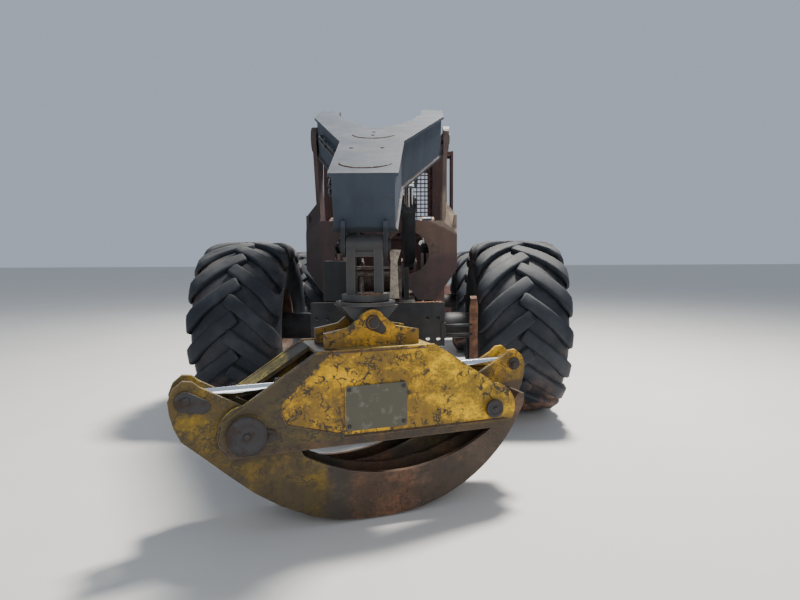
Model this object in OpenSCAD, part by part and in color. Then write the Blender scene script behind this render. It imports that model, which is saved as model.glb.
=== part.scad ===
// Grapple skidder, articulated, four wheels, standing parked.
// Millimetres. +Y is forwards, +X is the machine's right, +Z is up.
// The origin is on the ground below the middle of the machine.

/* [Wheels] */
// Outside diameter of the rear tyres over the lugs
rear_tyre_od = 1900; // [1820:10:1960]
// Width of the rear tyres
rear_tyre_w = 940; // [860:10:980]
// Distance between the middles of the rear tyres
rear_track = 2920; // [2880:10:3100]
// Outside diameter of the front tyres over the lugs
front_tyre_od = 1780; // [1700:10:1840]
// Width of the front tyres
front_tyre_w = 780; // [700:10:840]
// Distance between the middles of the front tyres
front_track = 2960; // [2900:10:3100]
// Height of the tyre lugs
lug_h = 62; // [45:1:75]
// Radius of the rims at the tyre beads
rim_r = 406; // [380:1:430]
// Thickness of a rim's barrel and disc
rim_t = 22; // [14:1:40]
// Distance from the rear axle to the front axle
wheelbase = 3900; // [3850:10:4100]
// Wall of the tyres' carcass
tyre_wall = 55; // [35:1:80]
// Radius of the wheel hubs at the axle ends
hub_r = 230; // [200:1:260]

/* [Frames] */
// Place of the rear axle along the machine
rear_axle_y = -1170; // [-1220:10:-1120]
// Distance from the rear axle to the steering hinge
hinge_ahead = 1930; // [1900:10:2000]
// Half width of the front frame outside its side plates
front_half_w = 380; // [340:5:420]
// Half width of the rear frame outside its side plates
rear_half_w = 360; // [340:5:400]
// Thickness of the frames' side plates
frame_t = 32; // [20:1:50]
// Underside of the frames
frame_bottom = 760; // [720:10:800]
// Top of the rear frame's deck
rear_deck_z = 1290; // [1260:10:1320]
// Top of the front frame
front_top_z = 1450; // [1430:10:1480]
// Radius of the steering hinge's pins
steer_pin_r = 60; // [45:1:75]
// Thickness of the hinge plates of the steering hinge
hinge_plate_t = 50; // [36:1:60]
// Running clearance beside hinge plates, tongs and links
side_clear = 6; // [5:0.5:10]
// Clearance between a pin and its bore, on the radius
pin_clear = 0.5; // [0.3:0.1:1]
// Clearance where curved faces of one assembly meet
seat_clear = 0.3; // [0.2:0.1:0.5]

/* [Cab] */
// Half width of the cab over its corner posts
cab_half_w = 790; // [740:10:830]
// Rear face of the cab along the machine
cab_rear_y = -150; // [-190:10:-100]
// Length of the cab
cab_len = 1560; // [1480:10:1700]
// Top of the cab's floor
cab_floor_z = 1560; // [1540:10:1600]
// Top of the cab's roof
cab_top_z = 3210; // [3100:10:3260]
// Thickness of the cab's walls and doors
wall_t = 60; // [40:1:80]
// Width of the door opening
door_w = 760; // [700:10:800]
// Gap round the doors
door_gap = 8; // [6:1:14]

/* [Hood] */
// Half width of the hood
hood_half_w = 480; // [440:10:560]
// Top of the hood
hood_top_z = 2230; // [2100:10:2300]
// Thickness of the hood's panels
hood_t = 16; // [8:1:30]

/* [Blade] */
// Half width of the blade
blade_half_w = 1330; // [1200:10:1400]
// Height of the blade
blade_h = 760; // [700:10:820]
// Height of the blade's lower edge above the ground
blade_low_z = 330; // [280:10:380]
// Height of the blade's hinge
blade_hinge_z = 900; // [860:10:940]

/* [Arch and boom] */
// Height of the arch's lower pin
arch_pin_z = 1400; // [1380:5:1430]
// Place of the arch's lower pin ahead of the rear axle
arch_pin_ahead = 280; // [240:10:320]
// Height of the boom's pin at the top of the arch
boom_pin_z = 2980; // [2950:5:3010]
// Place of the boom's pin behind the rear axle
boom_pin_behind = 210; // [180:5:240]
// Half width of the boom's fork over its horns
fork_half_w = 662; // [640:1:690]
// Width of one horn of the fork
horn_w = 222; // [190:1:240]
// Slope of the boom in degrees
boom_slope = 20.9; // [19:0.1:23]
// Depth of the boom's box
boom_depth = 410; // [380:5:440]
// Thickness of the arch's cheek plates
cheek_t = 40; // [30:1:60]
// Radius of the boom's pin
boom_pin_r = 55; // [45:1:65]

/* [Grapple] */
// Turn of the grapple about its swivel in degrees
grapple_yaw = 20.9; // [0:0.1:30]
// Place of the grapple's swivel behind the rear axle
grapple_behind = 2560; // [2500:10:2620]
// Height of the pin that the grapple link hangs from
tip_pin_z = 1835; // [1820:1:1850]
// Height of the grapple's lug pin
lug_pin_z = 1317; // [1300:1:1330]
// Distance from the middle of the grapple to a tong's pin
tong_pin_u = 845; // [820:5:870]
// Height of the tongs' pins
tong_pin_z = 687; // [680:1:700]
// Thickness of the grapple over its two main plates
head_depth = 580; // [560:5:620]
// Thickness of the grapple's plates
head_t = 30; // [20:1:36]
// Height of the closed tongs above the ground
tong_low_z = 10; // [5:1:60]

/* [Hidden] */
$fn = 64;

front_axle_y = rear_axle_y + wheelbase;
hinge_y = rear_axle_y + hinge_ahead;
rear_axle_z = rear_tyre_od / 2;
front_axle_z = front_tyre_od / 2;
arch_pin_y = rear_axle_y + arch_pin_ahead;
boom_pin_y = rear_axle_y - boom_pin_behind;
grapple_y = rear_axle_y - grapple_behind;
cab_front_y = cab_rear_y + cab_len;

// Colours
body_brown = [0.30, 0.17, 0.14];
frame_grey = [0.20, 0.22, 0.25];
boom_grey = [0.42, 0.45, 0.50];
grapple_yellow = [0.85, 0.62, 0.10];
worn_steel = [0.38, 0.27, 0.20];
rod_chrome = [0.80, 0.82, 0.85];
tyre_black = [0.09, 0.10, 0.11];
rim_brown = [0.36, 0.22, 0.15];
seat_black = [0.12, 0.12, 0.13];
lamp_clear = [0.85, 0.87, 0.88];

// Plate whose outline is a list of [y, z], standing from x0 over a thickness
module plate_x(outline, x0, t) {
    translate([x0, 0, 0])
        rotate([90, 0, 90])
            linear_extrude(t) polygon(outline);
}

// The same plate on both sides, its inner face at x_in
module pair_x(outline, x_in, t) {
    for (side = [0, 1])
        mirror([side, 0, 0]) plate_x(outline, x_in, t);
}

// Plate whose outline is a list of [x, z], from y0 over a thickness
module plate_y(outline, y0, t) {
    translate([0, y0 + t, 0])
        rotate([90, 0, 0])
            linear_extrude(t) polygon(outline);
}

// Plate whose outline is a list of [x, y], from z0 over a thickness
module plate_z(outline, z0, t) {
    translate([0, 0, z0])
        linear_extrude(t) polygon(outline);
}

// Box between two corners
module box(low, high) {
    translate(low) cube(high - low);
}

// Round bar along X
module bar_x(r, x0, x1, y, z) {
    translate([x0, y, z])
        rotate([0, 90, 0]) cylinder(r = r, h = x1 - x0);
}

// Round bar along Y
module bar_y(r, y0, y1, x, z) {
    translate([x, y1, z])
        rotate([90, 0, 0]) cylinder(r = r, h = y1 - y0);
}

// Round bar along Z
module bar_z(r, z0, z1, x, y) {
    translate([x, y, z0]) cylinder(r = r, h = z1 - z0);
}

// Children on both sides
module both_sides() {
    for (side = [0, 1])
        mirror([side, 0, 0]) children();
}

// Children with their +Z axis from p towards q
module aim(p, q) {
    d = q - p;
    translate(p)
        rotate([0, acos(d[2] / norm(d)), atan2(d[1], d[0])]) children();
}

// Hydraulic cylinders, each as [barrel radius, rod radius, eye radius, eye width]
steer_size = [48, 28, 44, 70];
blade_size = [62, 38, 60, 78];
arch_size = [78, 48, 72, 100];
boom_size = [72, 44, 68, 96];
tong_size = [55, 34, 56, 70];

// Barrel along +Z from the middle of its eye, the eye's axis along local X
module barrel(size, length) {
    difference() {
        union() {
            translate([-size[3] / 2, 0, 0])
                rotate([0, 90, 0]) cylinder(r = size[2], h = size[3]);
            translate([0, 0, size[2] * 0.7])
                cylinder(r = size[3] / 2, h = size[2]);
            translate([0, 0, size[2] * 1.2])
                cylinder(r = size[0], h = length - size[2] * 1.2);
            translate([0, 0, length - size[0] * 0.7])
                cylinder(r = size[0] * 1.12, h = size[0] * 0.7);
        }
        translate([-size[3], 0, 0])
            rotate([0, 90, 0]) cylinder(r = size[2] * 0.5 + pin_clear, h = size[3] * 2);
        translate([0, 0, size[2] * 1.2])
            cylinder(r = size[1] + pin_clear, h = length);
    }
}

// Rod along -Z from the middle of its eye, the eye's axis along local X
module rod(size, length) {
    difference() {
        union() {
            translate([-size[3] / 2, 0, 0])
                rotate([0, 90, 0]) cylinder(r = size[2], h = size[3]);
            translate([0, 0, -length])
                cylinder(r = size[1], h = length);
        }
        translate([-size[3], 0, 0])
            rotate([0, 90, 0]) cylinder(r = size[2] * 0.5, h = size[3] * 2);
    }
}

// A tyre lying on its axis X, its carcass as [across, radius] from bead to bead
module tyre(od, w, side) {
    r = od / 2;
    bead = w * 0.37;
    half = [[bead - tyre_wall, rim_r], [bead, rim_r], [bead, rim_r + 28],
        [w * 0.45, rim_r + 75], [w * 0.5, r * 0.72], [w * 0.5, r * 0.82], [w * 0.46, r - lug_h],
        [w * 0.47, r - lug_h * 0.3], [w * 0.44, r]];
    inner = [[w * 0.4, r - lug_h - tyre_wall], [w * 0.5 - tyre_wall, r * 0.8],
        [w * 0.5 - tyre_wall, r * 0.72], [bead - tyre_wall, rim_r + 60]];
    carcass = concat(half, [for (i = [len(half) - 1:-1:0]) [-half[i][0], half[i][1]]],
        [for (i = [len(inner) - 1:-1:0]) [-inner[i][0], inner[i][1]]], inner);
    rotate([0, 90, 0])
        rotate_extrude($fn = 96)
            rotate(90) mirror([0, 1]) polygon([for (p = carcass) [p[0], p[1]]]);
}

// A rim with its disc and hub, the disc towards +X
module rim(w) {
    bead = rim_r - seat_clear;
    half = w * 0.37;
    dish = half * 0.45;
    rotate([0, 90, 0])
        difference() {
            union() {
                translate([0, 0, -half]) cylinder(r = bead, h = 2 * half);
                translate([0, 0, -half - 12]) cylinder(r = bead + 26, h = 11.7);
                translate([0, 0, half + 0.3]) cylinder(r = bead + 26, h = 11.7);
            }
            translate([0, 0, -half - 20])
                cylinder(r = bead - rim_t, h = half + 20 + dish);
            translate([0, 0, dish + rim_t])
                cylinder(r = bead - rim_t, h = half + 20);
            for (turn = [0:45:315])
                rotate(turn) translate([bead * 0.72, 0, 0])
                    cylinder(r = 34, h = half * 2);
            cylinder(r = hub_r * 0.62 + seat_clear, h = half * 2);
        }
}

// Tie-down eye: a plate standing across X with a bore
eye_r = 32;
eye_t = 34;

module tie_down(x, y, z, dir) {
    box([x - eye_t / 2, min(y, y + dir * 60), z - 62], [x + eye_t / 2, max(y, y + dir * 60), z + 62]);
    bar_x(62, x - eye_t / 2, x + eye_t / 2, y + dir * 60, z);
}

// Front frame: side plates, cross plates, hinge plates and their steering pins
fork_rear = 150;
front_plate_y = hinge_y + 480;
blade_hinge_y = front_axle_y + 620;
front_nose_y = front_axle_y + 1010;
fork_low_z = frame_bottom;
steer_front = [310, 420];
steer_rear = [300, -395];
steer_z = 1120;
blade_cyl_base = [front_nose_y - 60, 1330];

module front_frame() {
    in_x = front_half_w - frame_t;
    axle_gap = front_axle_z + 230;
    color(frame_grey) difference() {
        union() {
            pair_x([[front_plate_y, frame_bottom], [front_axle_y - 330, frame_bottom],
                [front_axle_y - 230, axle_gap], [front_axle_y + 230, axle_gap],
                [front_axle_y + 330, frame_bottom + 40], [front_nose_y, frame_bottom + 40],
                [front_nose_y, front_top_z], [front_plate_y, front_top_z]], in_x, frame_t);
            box([-in_x, front_plate_y, frame_bottom],
                [in_x, front_plate_y + frame_t, front_top_z]);
            box([-in_x, front_nose_y - frame_t, frame_bottom + 40],
                [in_x, front_nose_y, front_top_z]);
            box([-in_x, front_plate_y + frame_t, frame_bottom],
                [in_x, front_axle_y - 340, frame_bottom + 16]);
            box([-in_x, front_axle_y - 200, axle_gap], [in_x, front_axle_y + 200, axle_gap + 40]);
            for (z = [front_top_z - hinge_plate_t, frame_bottom])
                hull() {
                    bar_z(fork_rear, z, z + hinge_plate_t, 0, hinge_y);
                    box([-300, front_plate_y - 10, z], [300, front_plate_y, z + hinge_plate_t]);
                }
            for (z = [steer_z - 75, steer_z + 45])
                both_sides()
                    box([steer_front[0] - 45, hinge_y + steer_front[1] - 38, z],
                        [steer_front[0] + 45, front_plate_y, z + 30]);
            both_sides()
                box([front_half_w, blade_hinge_y - 70, blade_hinge_z - 80],
                    [front_half_w + 40, blade_hinge_y + 70, blade_hinge_z + 80]);
            for (x = [-250, -140, 120, 230])
                plate_x([[front_nose_y, blade_cyl_base[1] - 75], [front_nose_y, blade_cyl_base[1] + 75],
                    [front_nose_y + 95, blade_cyl_base[1] + 60], [front_nose_y + 130, blade_cyl_base[1] + 20],
                    [front_nose_y + 130, blade_cyl_base[1] - 20], [front_nose_y + 95, blade_cyl_base[1] - 58]],
                    x, 20);
            for (x = [-300, 300])
                tie_down(x, front_nose_y, frame_bottom + 195, 1);
        }
        bar_x(eye_r, -400, 400, front_nose_y + 60, frame_bottom + 195);
        bar_z(steer_pin_r + seat_clear, frame_bottom - 10, front_top_z + 10, 0, hinge_y);
        both_sides()
            bar_x(46, front_half_w - 60, front_half_w + 60, blade_hinge_y, blade_hinge_z);
        both_sides()
            bar_z(22 + seat_clear, steer_z - 90, steer_z + 90, steer_front[0],
                hinge_y + steer_front[1]);
        both_sides()
            bar_x(30 + seat_clear, 110, 290, front_nose_y + 75, blade_cyl_base[1]);
    }
    color(worn_steel) {
        bar_z(steer_pin_r, front_top_z - hinge_plate_t - 60, front_top_z + 16, 0, hinge_y);
        bar_z(steer_pin_r, frame_bottom - 16, frame_bottom + hinge_plate_t + 60, 0, hinge_y);
        both_sides() bar_x(30, 115, 255, front_nose_y + 75, blade_cyl_base[1]);
        both_sides()
            bar_z(22, steer_z - 80, steer_z + 80, steer_front[0], hinge_y + steer_front[1]);
    }
}

// Axle housing with its hub ends, from wheel to wheel
module axle(y, z, track, w, body_r) {
    reach = track / 2 + w * 0.37 * 0.45 - seat_clear;
    bar_x(body_r * 0.62, -reach + 120, reach - 120, y, z);
    both_sides() {
        bar_x(hub_r * 0.8, track / 2 - w * 0.3, reach, y, z);
        bar_x(hub_r * 0.62, reach, reach + 90, y, z);
    }
    hull() {
        bar_x(body_r, -150, 150, y, z);
        bar_x(body_r * 0.62, -300, 300, y, z);
    }
}

module front_axle() {
    pad = front_axle_z + 230;
    color(frame_grey) {
        axle(front_axle_y, front_axle_z, front_track, front_tyre_w, 200);
        box([-120, front_axle_y - 190, front_axle_z + 60], [120, front_axle_y + 190, pad]);
    }
}

engine_seat = front_half_w - frame_t - seat_clear;

module engine_block() {
    color([0.28, 0.28, 0.27])
        union() {
            box([-300, front_axle_y - 900, front_top_z - 200],
                [300, front_axle_y + 560, hood_top_z - 170]);
            for (y = [front_axle_y - 800, front_axle_y + 420])
                box([-engine_seat, y, front_top_z - 190], [engine_seat, y + 80, front_top_z - 130]);
        }
}

hood_rear_y = cab_front_y + 40;
hood_front_y = front_nose_y - 30;
hood_low_z = front_top_z + 12;

module hood() {
    out = [[-hood_half_w, hood_low_z], [-hood_half_w, hood_top_z - 130],
        [-hood_half_w + 120, hood_top_z], [hood_half_w - 120, hood_top_z],
        [hood_half_w, hood_top_z - 130], [hood_half_w, hood_low_z],
        [hood_half_w - hood_t, hood_low_z], [hood_half_w - hood_t, hood_top_z - 137],
        [hood_half_w - 127, hood_top_z - hood_t], [-hood_half_w + 127, hood_top_z - hood_t],
        [-hood_half_w + hood_t, hood_top_z - 137], [-hood_half_w + hood_t, hood_low_z]];
    color(body_brown) difference() {
        union() {
            plate_y(out, hood_rear_y, hood_front_y - hood_rear_y);
            both_sides()
                box([front_half_w - frame_t, hood_rear_y + 60, front_top_z],
                    [hood_half_w - hood_t, hood_front_y - 60, hood_low_z + hood_t]);
        }
        for (i = [0:5])
            both_sides()
                box([hood_half_w - 60, hood_rear_y + 420 + i * 150, front_top_z + 330],
                    [hood_half_w + 10, hood_rear_y + 500 + i * 150, front_top_z + 560]);
        bar_z(58 + seat_clear, hood_top_z - 60, hood_top_z + 10, 0, hood_rear_y + 620);
    }
}

module grille() {
    half = hood_half_w - hood_t - 2;
    z0 = hood_low_z + hood_t + 20;
    z1 = hood_top_z - 190;
    color(frame_grey) {
        box([-half, hood_front_y - 90, hood_low_z + hood_t], [half, hood_front_y - 30, z0]);
        box([-half, hood_front_y - 90, z1], [half, hood_front_y - 30, z1 + 50]);
        for (side = [-1, 1])
            box([side * (half - 25) - 25, hood_front_y - 90, z0],
                [side * (half - 25) + 25, hood_front_y - 30, z1]);
        for (z = [z0 + 50:70:z1 - 30])
            box([-half + 40, hood_front_y - 80, z], [half - 40, hood_front_y - 44, z + 18]);
    }
}

module exhaust_stack() {
    y = hood_rear_y + 620;
    color(worn_steel) difference() {
        union() {
            bar_z(58, hood_top_z - 170, hood_top_z + 380, 0, y);
            bar_z(95, hood_top_z + 60, hood_top_z + 330, 0, y);
            bar_z(58, hood_top_z + 330, hood_top_z + 620, 0, y);
        }
        bar_z(50, hood_top_z + 350, hood_top_z + 640, 0, y);
    }
}

module air_cleaner() {
    x = hood_half_w - 190;
    y = hood_rear_y + 260;
    color(tyre_black) {
        bar_z(60, hood_top_z, hood_top_z + 190, x, y);
        bar_z(135, hood_top_z + 190, hood_top_z + 400, x, y);
        bar_z(100, hood_top_z + 400, hood_top_z + 440, x, y);
    }
}

// Cab: floor, corner posts, rails and the front and rear walls with their windows
door_y = cab_rear_y + 420;
door_low_z = cab_floor_z + 20;
door_top_z = cab_top_z - 200;

knuckle_r = 16;
knuckle_h = 60;
knuckle_x = cab_half_w + knuckle_r + seat_clear;
knuckle_y = door_y + door_w + door_gap / 2;
door_knuckles = [door_low_z + 180, door_top_z - 260];
cab_mounts = [hinge_y + 260, hinge_y + 485];

module cab_shell() {
    roof_z = cab_top_z - 70;
    low = cab_floor_z - 60;
    color(body_brown) difference() {
        union() {
            box([-cab_half_w, cab_rear_y, low], [cab_half_w, cab_front_y, roof_z]);
            box([-cab_half_w + 180, cab_rear_y + 300, front_top_z + 24],
                [cab_half_w - 180, cab_front_y - 60, low]);
            for (y = cab_mounts)
                box([-200, y, front_top_z + seat_clear], [200, y + 60, front_top_z + 30]);
            both_sides()
                for (z = door_knuckles, dz = [-knuckle_h - seat_clear, knuckle_h + seat_clear]) {
                    bar_z(knuckle_r, z + dz, z + dz + knuckle_h, knuckle_x, knuckle_y);
                    box([cab_half_w - 5, knuckle_y, z + dz],
                        [knuckle_x, knuckle_y + 20, z + dz + knuckle_h]);
                }
        }
        box([-cab_half_w + wall_t, cab_rear_y + wall_t, cab_floor_z],
            [cab_half_w - wall_t, cab_front_y - wall_t, roof_z - wall_t]);
        box([-cab_half_w + 200, cab_front_y - 100, cab_floor_z + 520],
            [cab_half_w - 200, cab_front_y + 10, roof_z - 160]);
        box([-cab_half_w + 170, cab_rear_y - 10, cab_floor_z + 420],
            [cab_half_w - 170, cab_rear_y + 100, roof_z - 150]);
        both_sides() {
            box([cab_half_w - 100, door_y - door_gap, door_low_z - door_gap],
                [cab_half_w + 10, door_y + door_w + door_gap, door_top_z + door_gap]);
            box([cab_half_w - 100, cab_rear_y + 110, cab_floor_z + 640],
                [cab_half_w + 10, door_y - 90, roof_z - 160]);
            box([cab_half_w - 100, door_y + door_w + 90, cab_floor_z + 640],
                [cab_half_w + 10, cab_front_y - 110, roof_z - 160]);
        }
    }
}

module cab_roof() {
    color(body_brown) difference() {
        box([-cab_half_w - 20, cab_rear_y - 20, cab_top_z - 70],
            [cab_half_w + 20, cab_front_y + 60, cab_top_z]);
        box([-cab_half_w + 300, cab_rear_y + 500, cab_top_z - 80],
            [cab_half_w - 300, cab_front_y - 360, cab_top_z - 30]);
    }
}

// Welded guards outside the rear window and the side windows behind the doors
module rear_guard() {
    z0 = cab_floor_z + 380;
    z1 = cab_top_z - 210;
    color(body_brown) {
        difference() {
            box([-cab_half_w + 120, cab_rear_y - 46, z0], [cab_half_w - 120, cab_rear_y - 20, z1]);
            for (x = [-cab_half_w + 160:52:cab_half_w - 205])
                box([x, cab_rear_y - 50, z0 + 40], [x + 40, cab_rear_y, z1 - 40]);
        }
        for (z = [z0 + 20, z1 - 60], x = [-cab_half_w + 125, cab_half_w - 165])
            box([x, cab_rear_y - 20, z], [x + 40, cab_rear_y, z + 40]);
        both_sides() {
            difference() {
                box([cab_half_w + 60, cab_rear_y + 30, z0 + 200],
                    [cab_half_w + 84, door_y - 40, z1 + 60]);
                for (y = [cab_rear_y + 70:60:door_y - 130])
                    box([cab_half_w, y, z0 + 240], [cab_half_w + 100, y + 46, z1 + 20]);
            }
            for (z = [z0 + 205, z1 + 15], y = [cab_rear_y + 32, door_y - 82])
                box([cab_half_w, y, z], [cab_half_w + 60, y + 40, z + 40]);
        }
    }
}

// One door with its window, hinged at its front edge, on the right side
module door_panel() {
    z0 = door_low_z;
    z1 = door_top_z;
    front = door_y + door_w;
    difference() {
        union() {
            box([cab_half_w - wall_t, door_y, z0], [cab_half_w, front, z1]);
            box([cab_half_w, door_y + 40, z0 + 420], [cab_half_w + 40, door_y + 80, z0 + 640]);
            for (z = door_knuckles) {
                bar_z(knuckle_r, z, z + knuckle_h, knuckle_x, knuckle_y);
                box([cab_half_w, front - 90, z], [cab_half_w + 12, knuckle_y, z + knuckle_h]);
            }
        }
        box([cab_half_w - 100, door_y + 90, z0 + 340], [cab_half_w + 10, front - 90, z1 - 80]);
        box([cab_half_w - 100, door_y + 90, z0 + 80], [cab_half_w + 10, front - 90, z0 + 260]);
    }
}

module door_left() {
    color(body_brown) mirror([1, 0, 0]) door_panel();
}

module door_right() {
    color(body_brown) door_panel();
}

module seat() {
    y = cab_rear_y + 620;
    z = cab_floor_z;
    color(seat_black) {
        box([-170, y - 170, z], [170, y + 170, z + 300]);
        hull() {
            for (x = [-200, 200], dy = [-210, 210])
                bar_z(40, z + 300, z + 400, x, y + dy, $fn = 32);
        }
        hull() {
            for (x = [-190, 190], dz = [430, 1020])
                bar_y(40, y - 300, y - 200, x, z + dz, $fn = 32);
        }
        box([-150, y - 290, z + 300], [150, y - 210, z + 420]);
        both_sides() {
            box([255, y - 160, z + 520], [335, y + 240, z + 590]);
            box([200, y - 160, z + 330], [290, y - 60, z + 520]);
        }
    }
}

module controls() {
    y = cab_front_y - wall_t;
    z = cab_floor_z;
    color(tyre_black) {
        box([-300, y - 190, z], [300, y, z + 430]);
        box([-430, y - 130, z + 430], [430, y, z + 500]);
        both_sides() bar_z(16, z + 500, z + 640, 180, y - 70);
        both_sides() bar_z(30, z + 640, z + 700, 180, y - 70);
    }
}

// Side boxes under the cab with their steps: fuel on the left, oil on the right
module tank(steps) {
    rear = hinge_y + 560;
    x0 = front_half_w;
    x1 = cab_half_w + 60;
    color(body_brown) difference() {
        box([x0, rear, 900], [x1, rear + 640, front_top_z - side_clear]);
        for (i = [0:steps - 1])
            box([x1 - 130, rear + 90, 1010 + i * 190], [x1 + 10, rear + 540, 1110 + i * 190]);
    }
}

module tank_left() {
    mirror([1, 0, 0]) tank(3);
}

module tank_right() {
    tank(3);
}

module front_fenders() {
    z = front_tyre_od + 90;
    x1 = front_track / 2 - front_tyre_w / 2 - 60;
    y0 = cab_front_y + 4;
    color(frame_grey) both_sides() {
        box([hood_half_w, y0, z], [x1, front_axle_y + 420, z + 14]);
        box([hood_half_w, y0, z - 60], [hood_half_w + 14, front_axle_y + 420, z]);
        plate_x([[front_axle_y + 420, z], [front_axle_y + 420, z + 14],
            [front_axle_y + 700, z - 146], [front_axle_y + 700, z - 160]],
            hood_half_w, x1 - hood_half_w);
    }
}

// Work lamps on the roof and beside the grille
module lamps() {
    color(lamp_clear) {
        for (x = [-620, -380, 380, 620]) {
            box([x - 70, cab_front_y + 60, cab_top_z - 66],
                [x + 70, cab_front_y + 130, cab_top_z - 6]);
            box([x - 70, cab_rear_y - 90, cab_top_z - 66],
                [x + 70, cab_rear_y - 20, cab_top_z - 6]);
        }
        both_sides()
            box([hood_half_w - 130, hood_front_y - 30, hood_low_z + 60],
                [hood_half_w - 30, hood_front_y, hood_low_z + 160]);
    }
}

// Blade with its push arms, turning about the pins on the front frame
blade_back_y = front_axle_y + 1420;
blade_pin_y = blade_hinge_y;
blade_cyl_eye = [blade_back_y - 76, 660];
blade_cyl_foot = [front_nose_y + 75, blade_cyl_base[1]];

module blade() {
    top = blade_low_z + blade_h;
    y = blade_back_y;
    color(body_brown) difference() {
        union() {
            plate_x([[y + 230, blade_low_z], [y + 90, blade_low_z + 130], [y + 10, blade_low_z + 330],
                [y + 10, blade_low_z + 520], [y + 70, top - 30], [y + 130, top],
                [y + 160, top - 20], [y + 100, top - 60], [y + 46, blade_low_z + 510],
                [y + 46, blade_low_z + 340], [y + 122, blade_low_z + 150],
                [y + 262, blade_low_z + 22]], -blade_half_w, 2 * blade_half_w);
            both_sides() {
                x = front_half_w + 40 + side_clear;
                plate_x([[blade_pin_y - 70, blade_hinge_z - 70], [blade_pin_y - 70, blade_hinge_z + 70],
                    [blade_pin_y + 70, blade_hinge_z + 80], [y + 12, 800], [y + 12, 560],
                    [blade_pin_y + 70, blade_hinge_z - 90]], x, 60);
                for (x1 = [105, 235])
                    plate_x([[y + 30, 560], [y + 30, 780], [blade_cyl_eye[0] + 10, 730],
                        [blade_cyl_eye[0] - 45, 700], [blade_cyl_eye[0] - 55, 640],
                        [blade_cyl_eye[0] - 20, 600]], x1, 26);
            }
            bar_x(45, -front_half_w - 46, front_half_w + 46, y - 256, 720);
            for (x1 = [-blade_half_w, -500, 480, blade_half_w - 20])
                plate_x([[y + 20, blade_low_z + 330], [y + 20, blade_low_z + 520],
                    [y - 60, blade_low_z + 480], [y - 60, blade_low_z + 370]], x1, 20);
        }
        both_sides() bar_x(20, 95, 270, blade_cyl_eye[0], blade_cyl_eye[1]);
    }
    color(worn_steel) {
        both_sides()
            bar_x(46 - pin_clear, front_half_w + 4, front_half_w + 130, blade_pin_y, blade_hinge_z);
        both_sides() bar_x(30, 261 + seat_clear, 276, blade_cyl_eye[0], blade_cyl_eye[1]);
    }
}

module blade_barrels() {
    color(frame_grey)
        for (x = [-185, 185])
            aim([x, blade_cyl_foot[0], blade_cyl_foot[1]], [x, blade_cyl_eye[0], blade_cyl_eye[1]])
                rotate(90) barrel(blade_size, 450);
}

module blade_rods() {
    color(rod_chrome)
        for (x = [-185, 185])
            aim([x, blade_cyl_foot[0], blade_cyl_foot[1]], [x, blade_cyl_eye[0], blade_cyl_eye[1]])
                translate([0, 0, norm(blade_cyl_eye - blade_cyl_foot)])
                    rotate(90) rod(blade_size, 488);
}

// Rear frame with its tongue, deck, tail and the lugs of the arch
tongue_top = front_top_z - hinge_plate_t - side_clear;
tongue_low = frame_bottom + hinge_plate_t + side_clear;
tail_y = rear_axle_y - 1000;
leg_in = 436;
leg_out = 524;
arch_foot = [arch_pin_y + 430, 1340];

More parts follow.
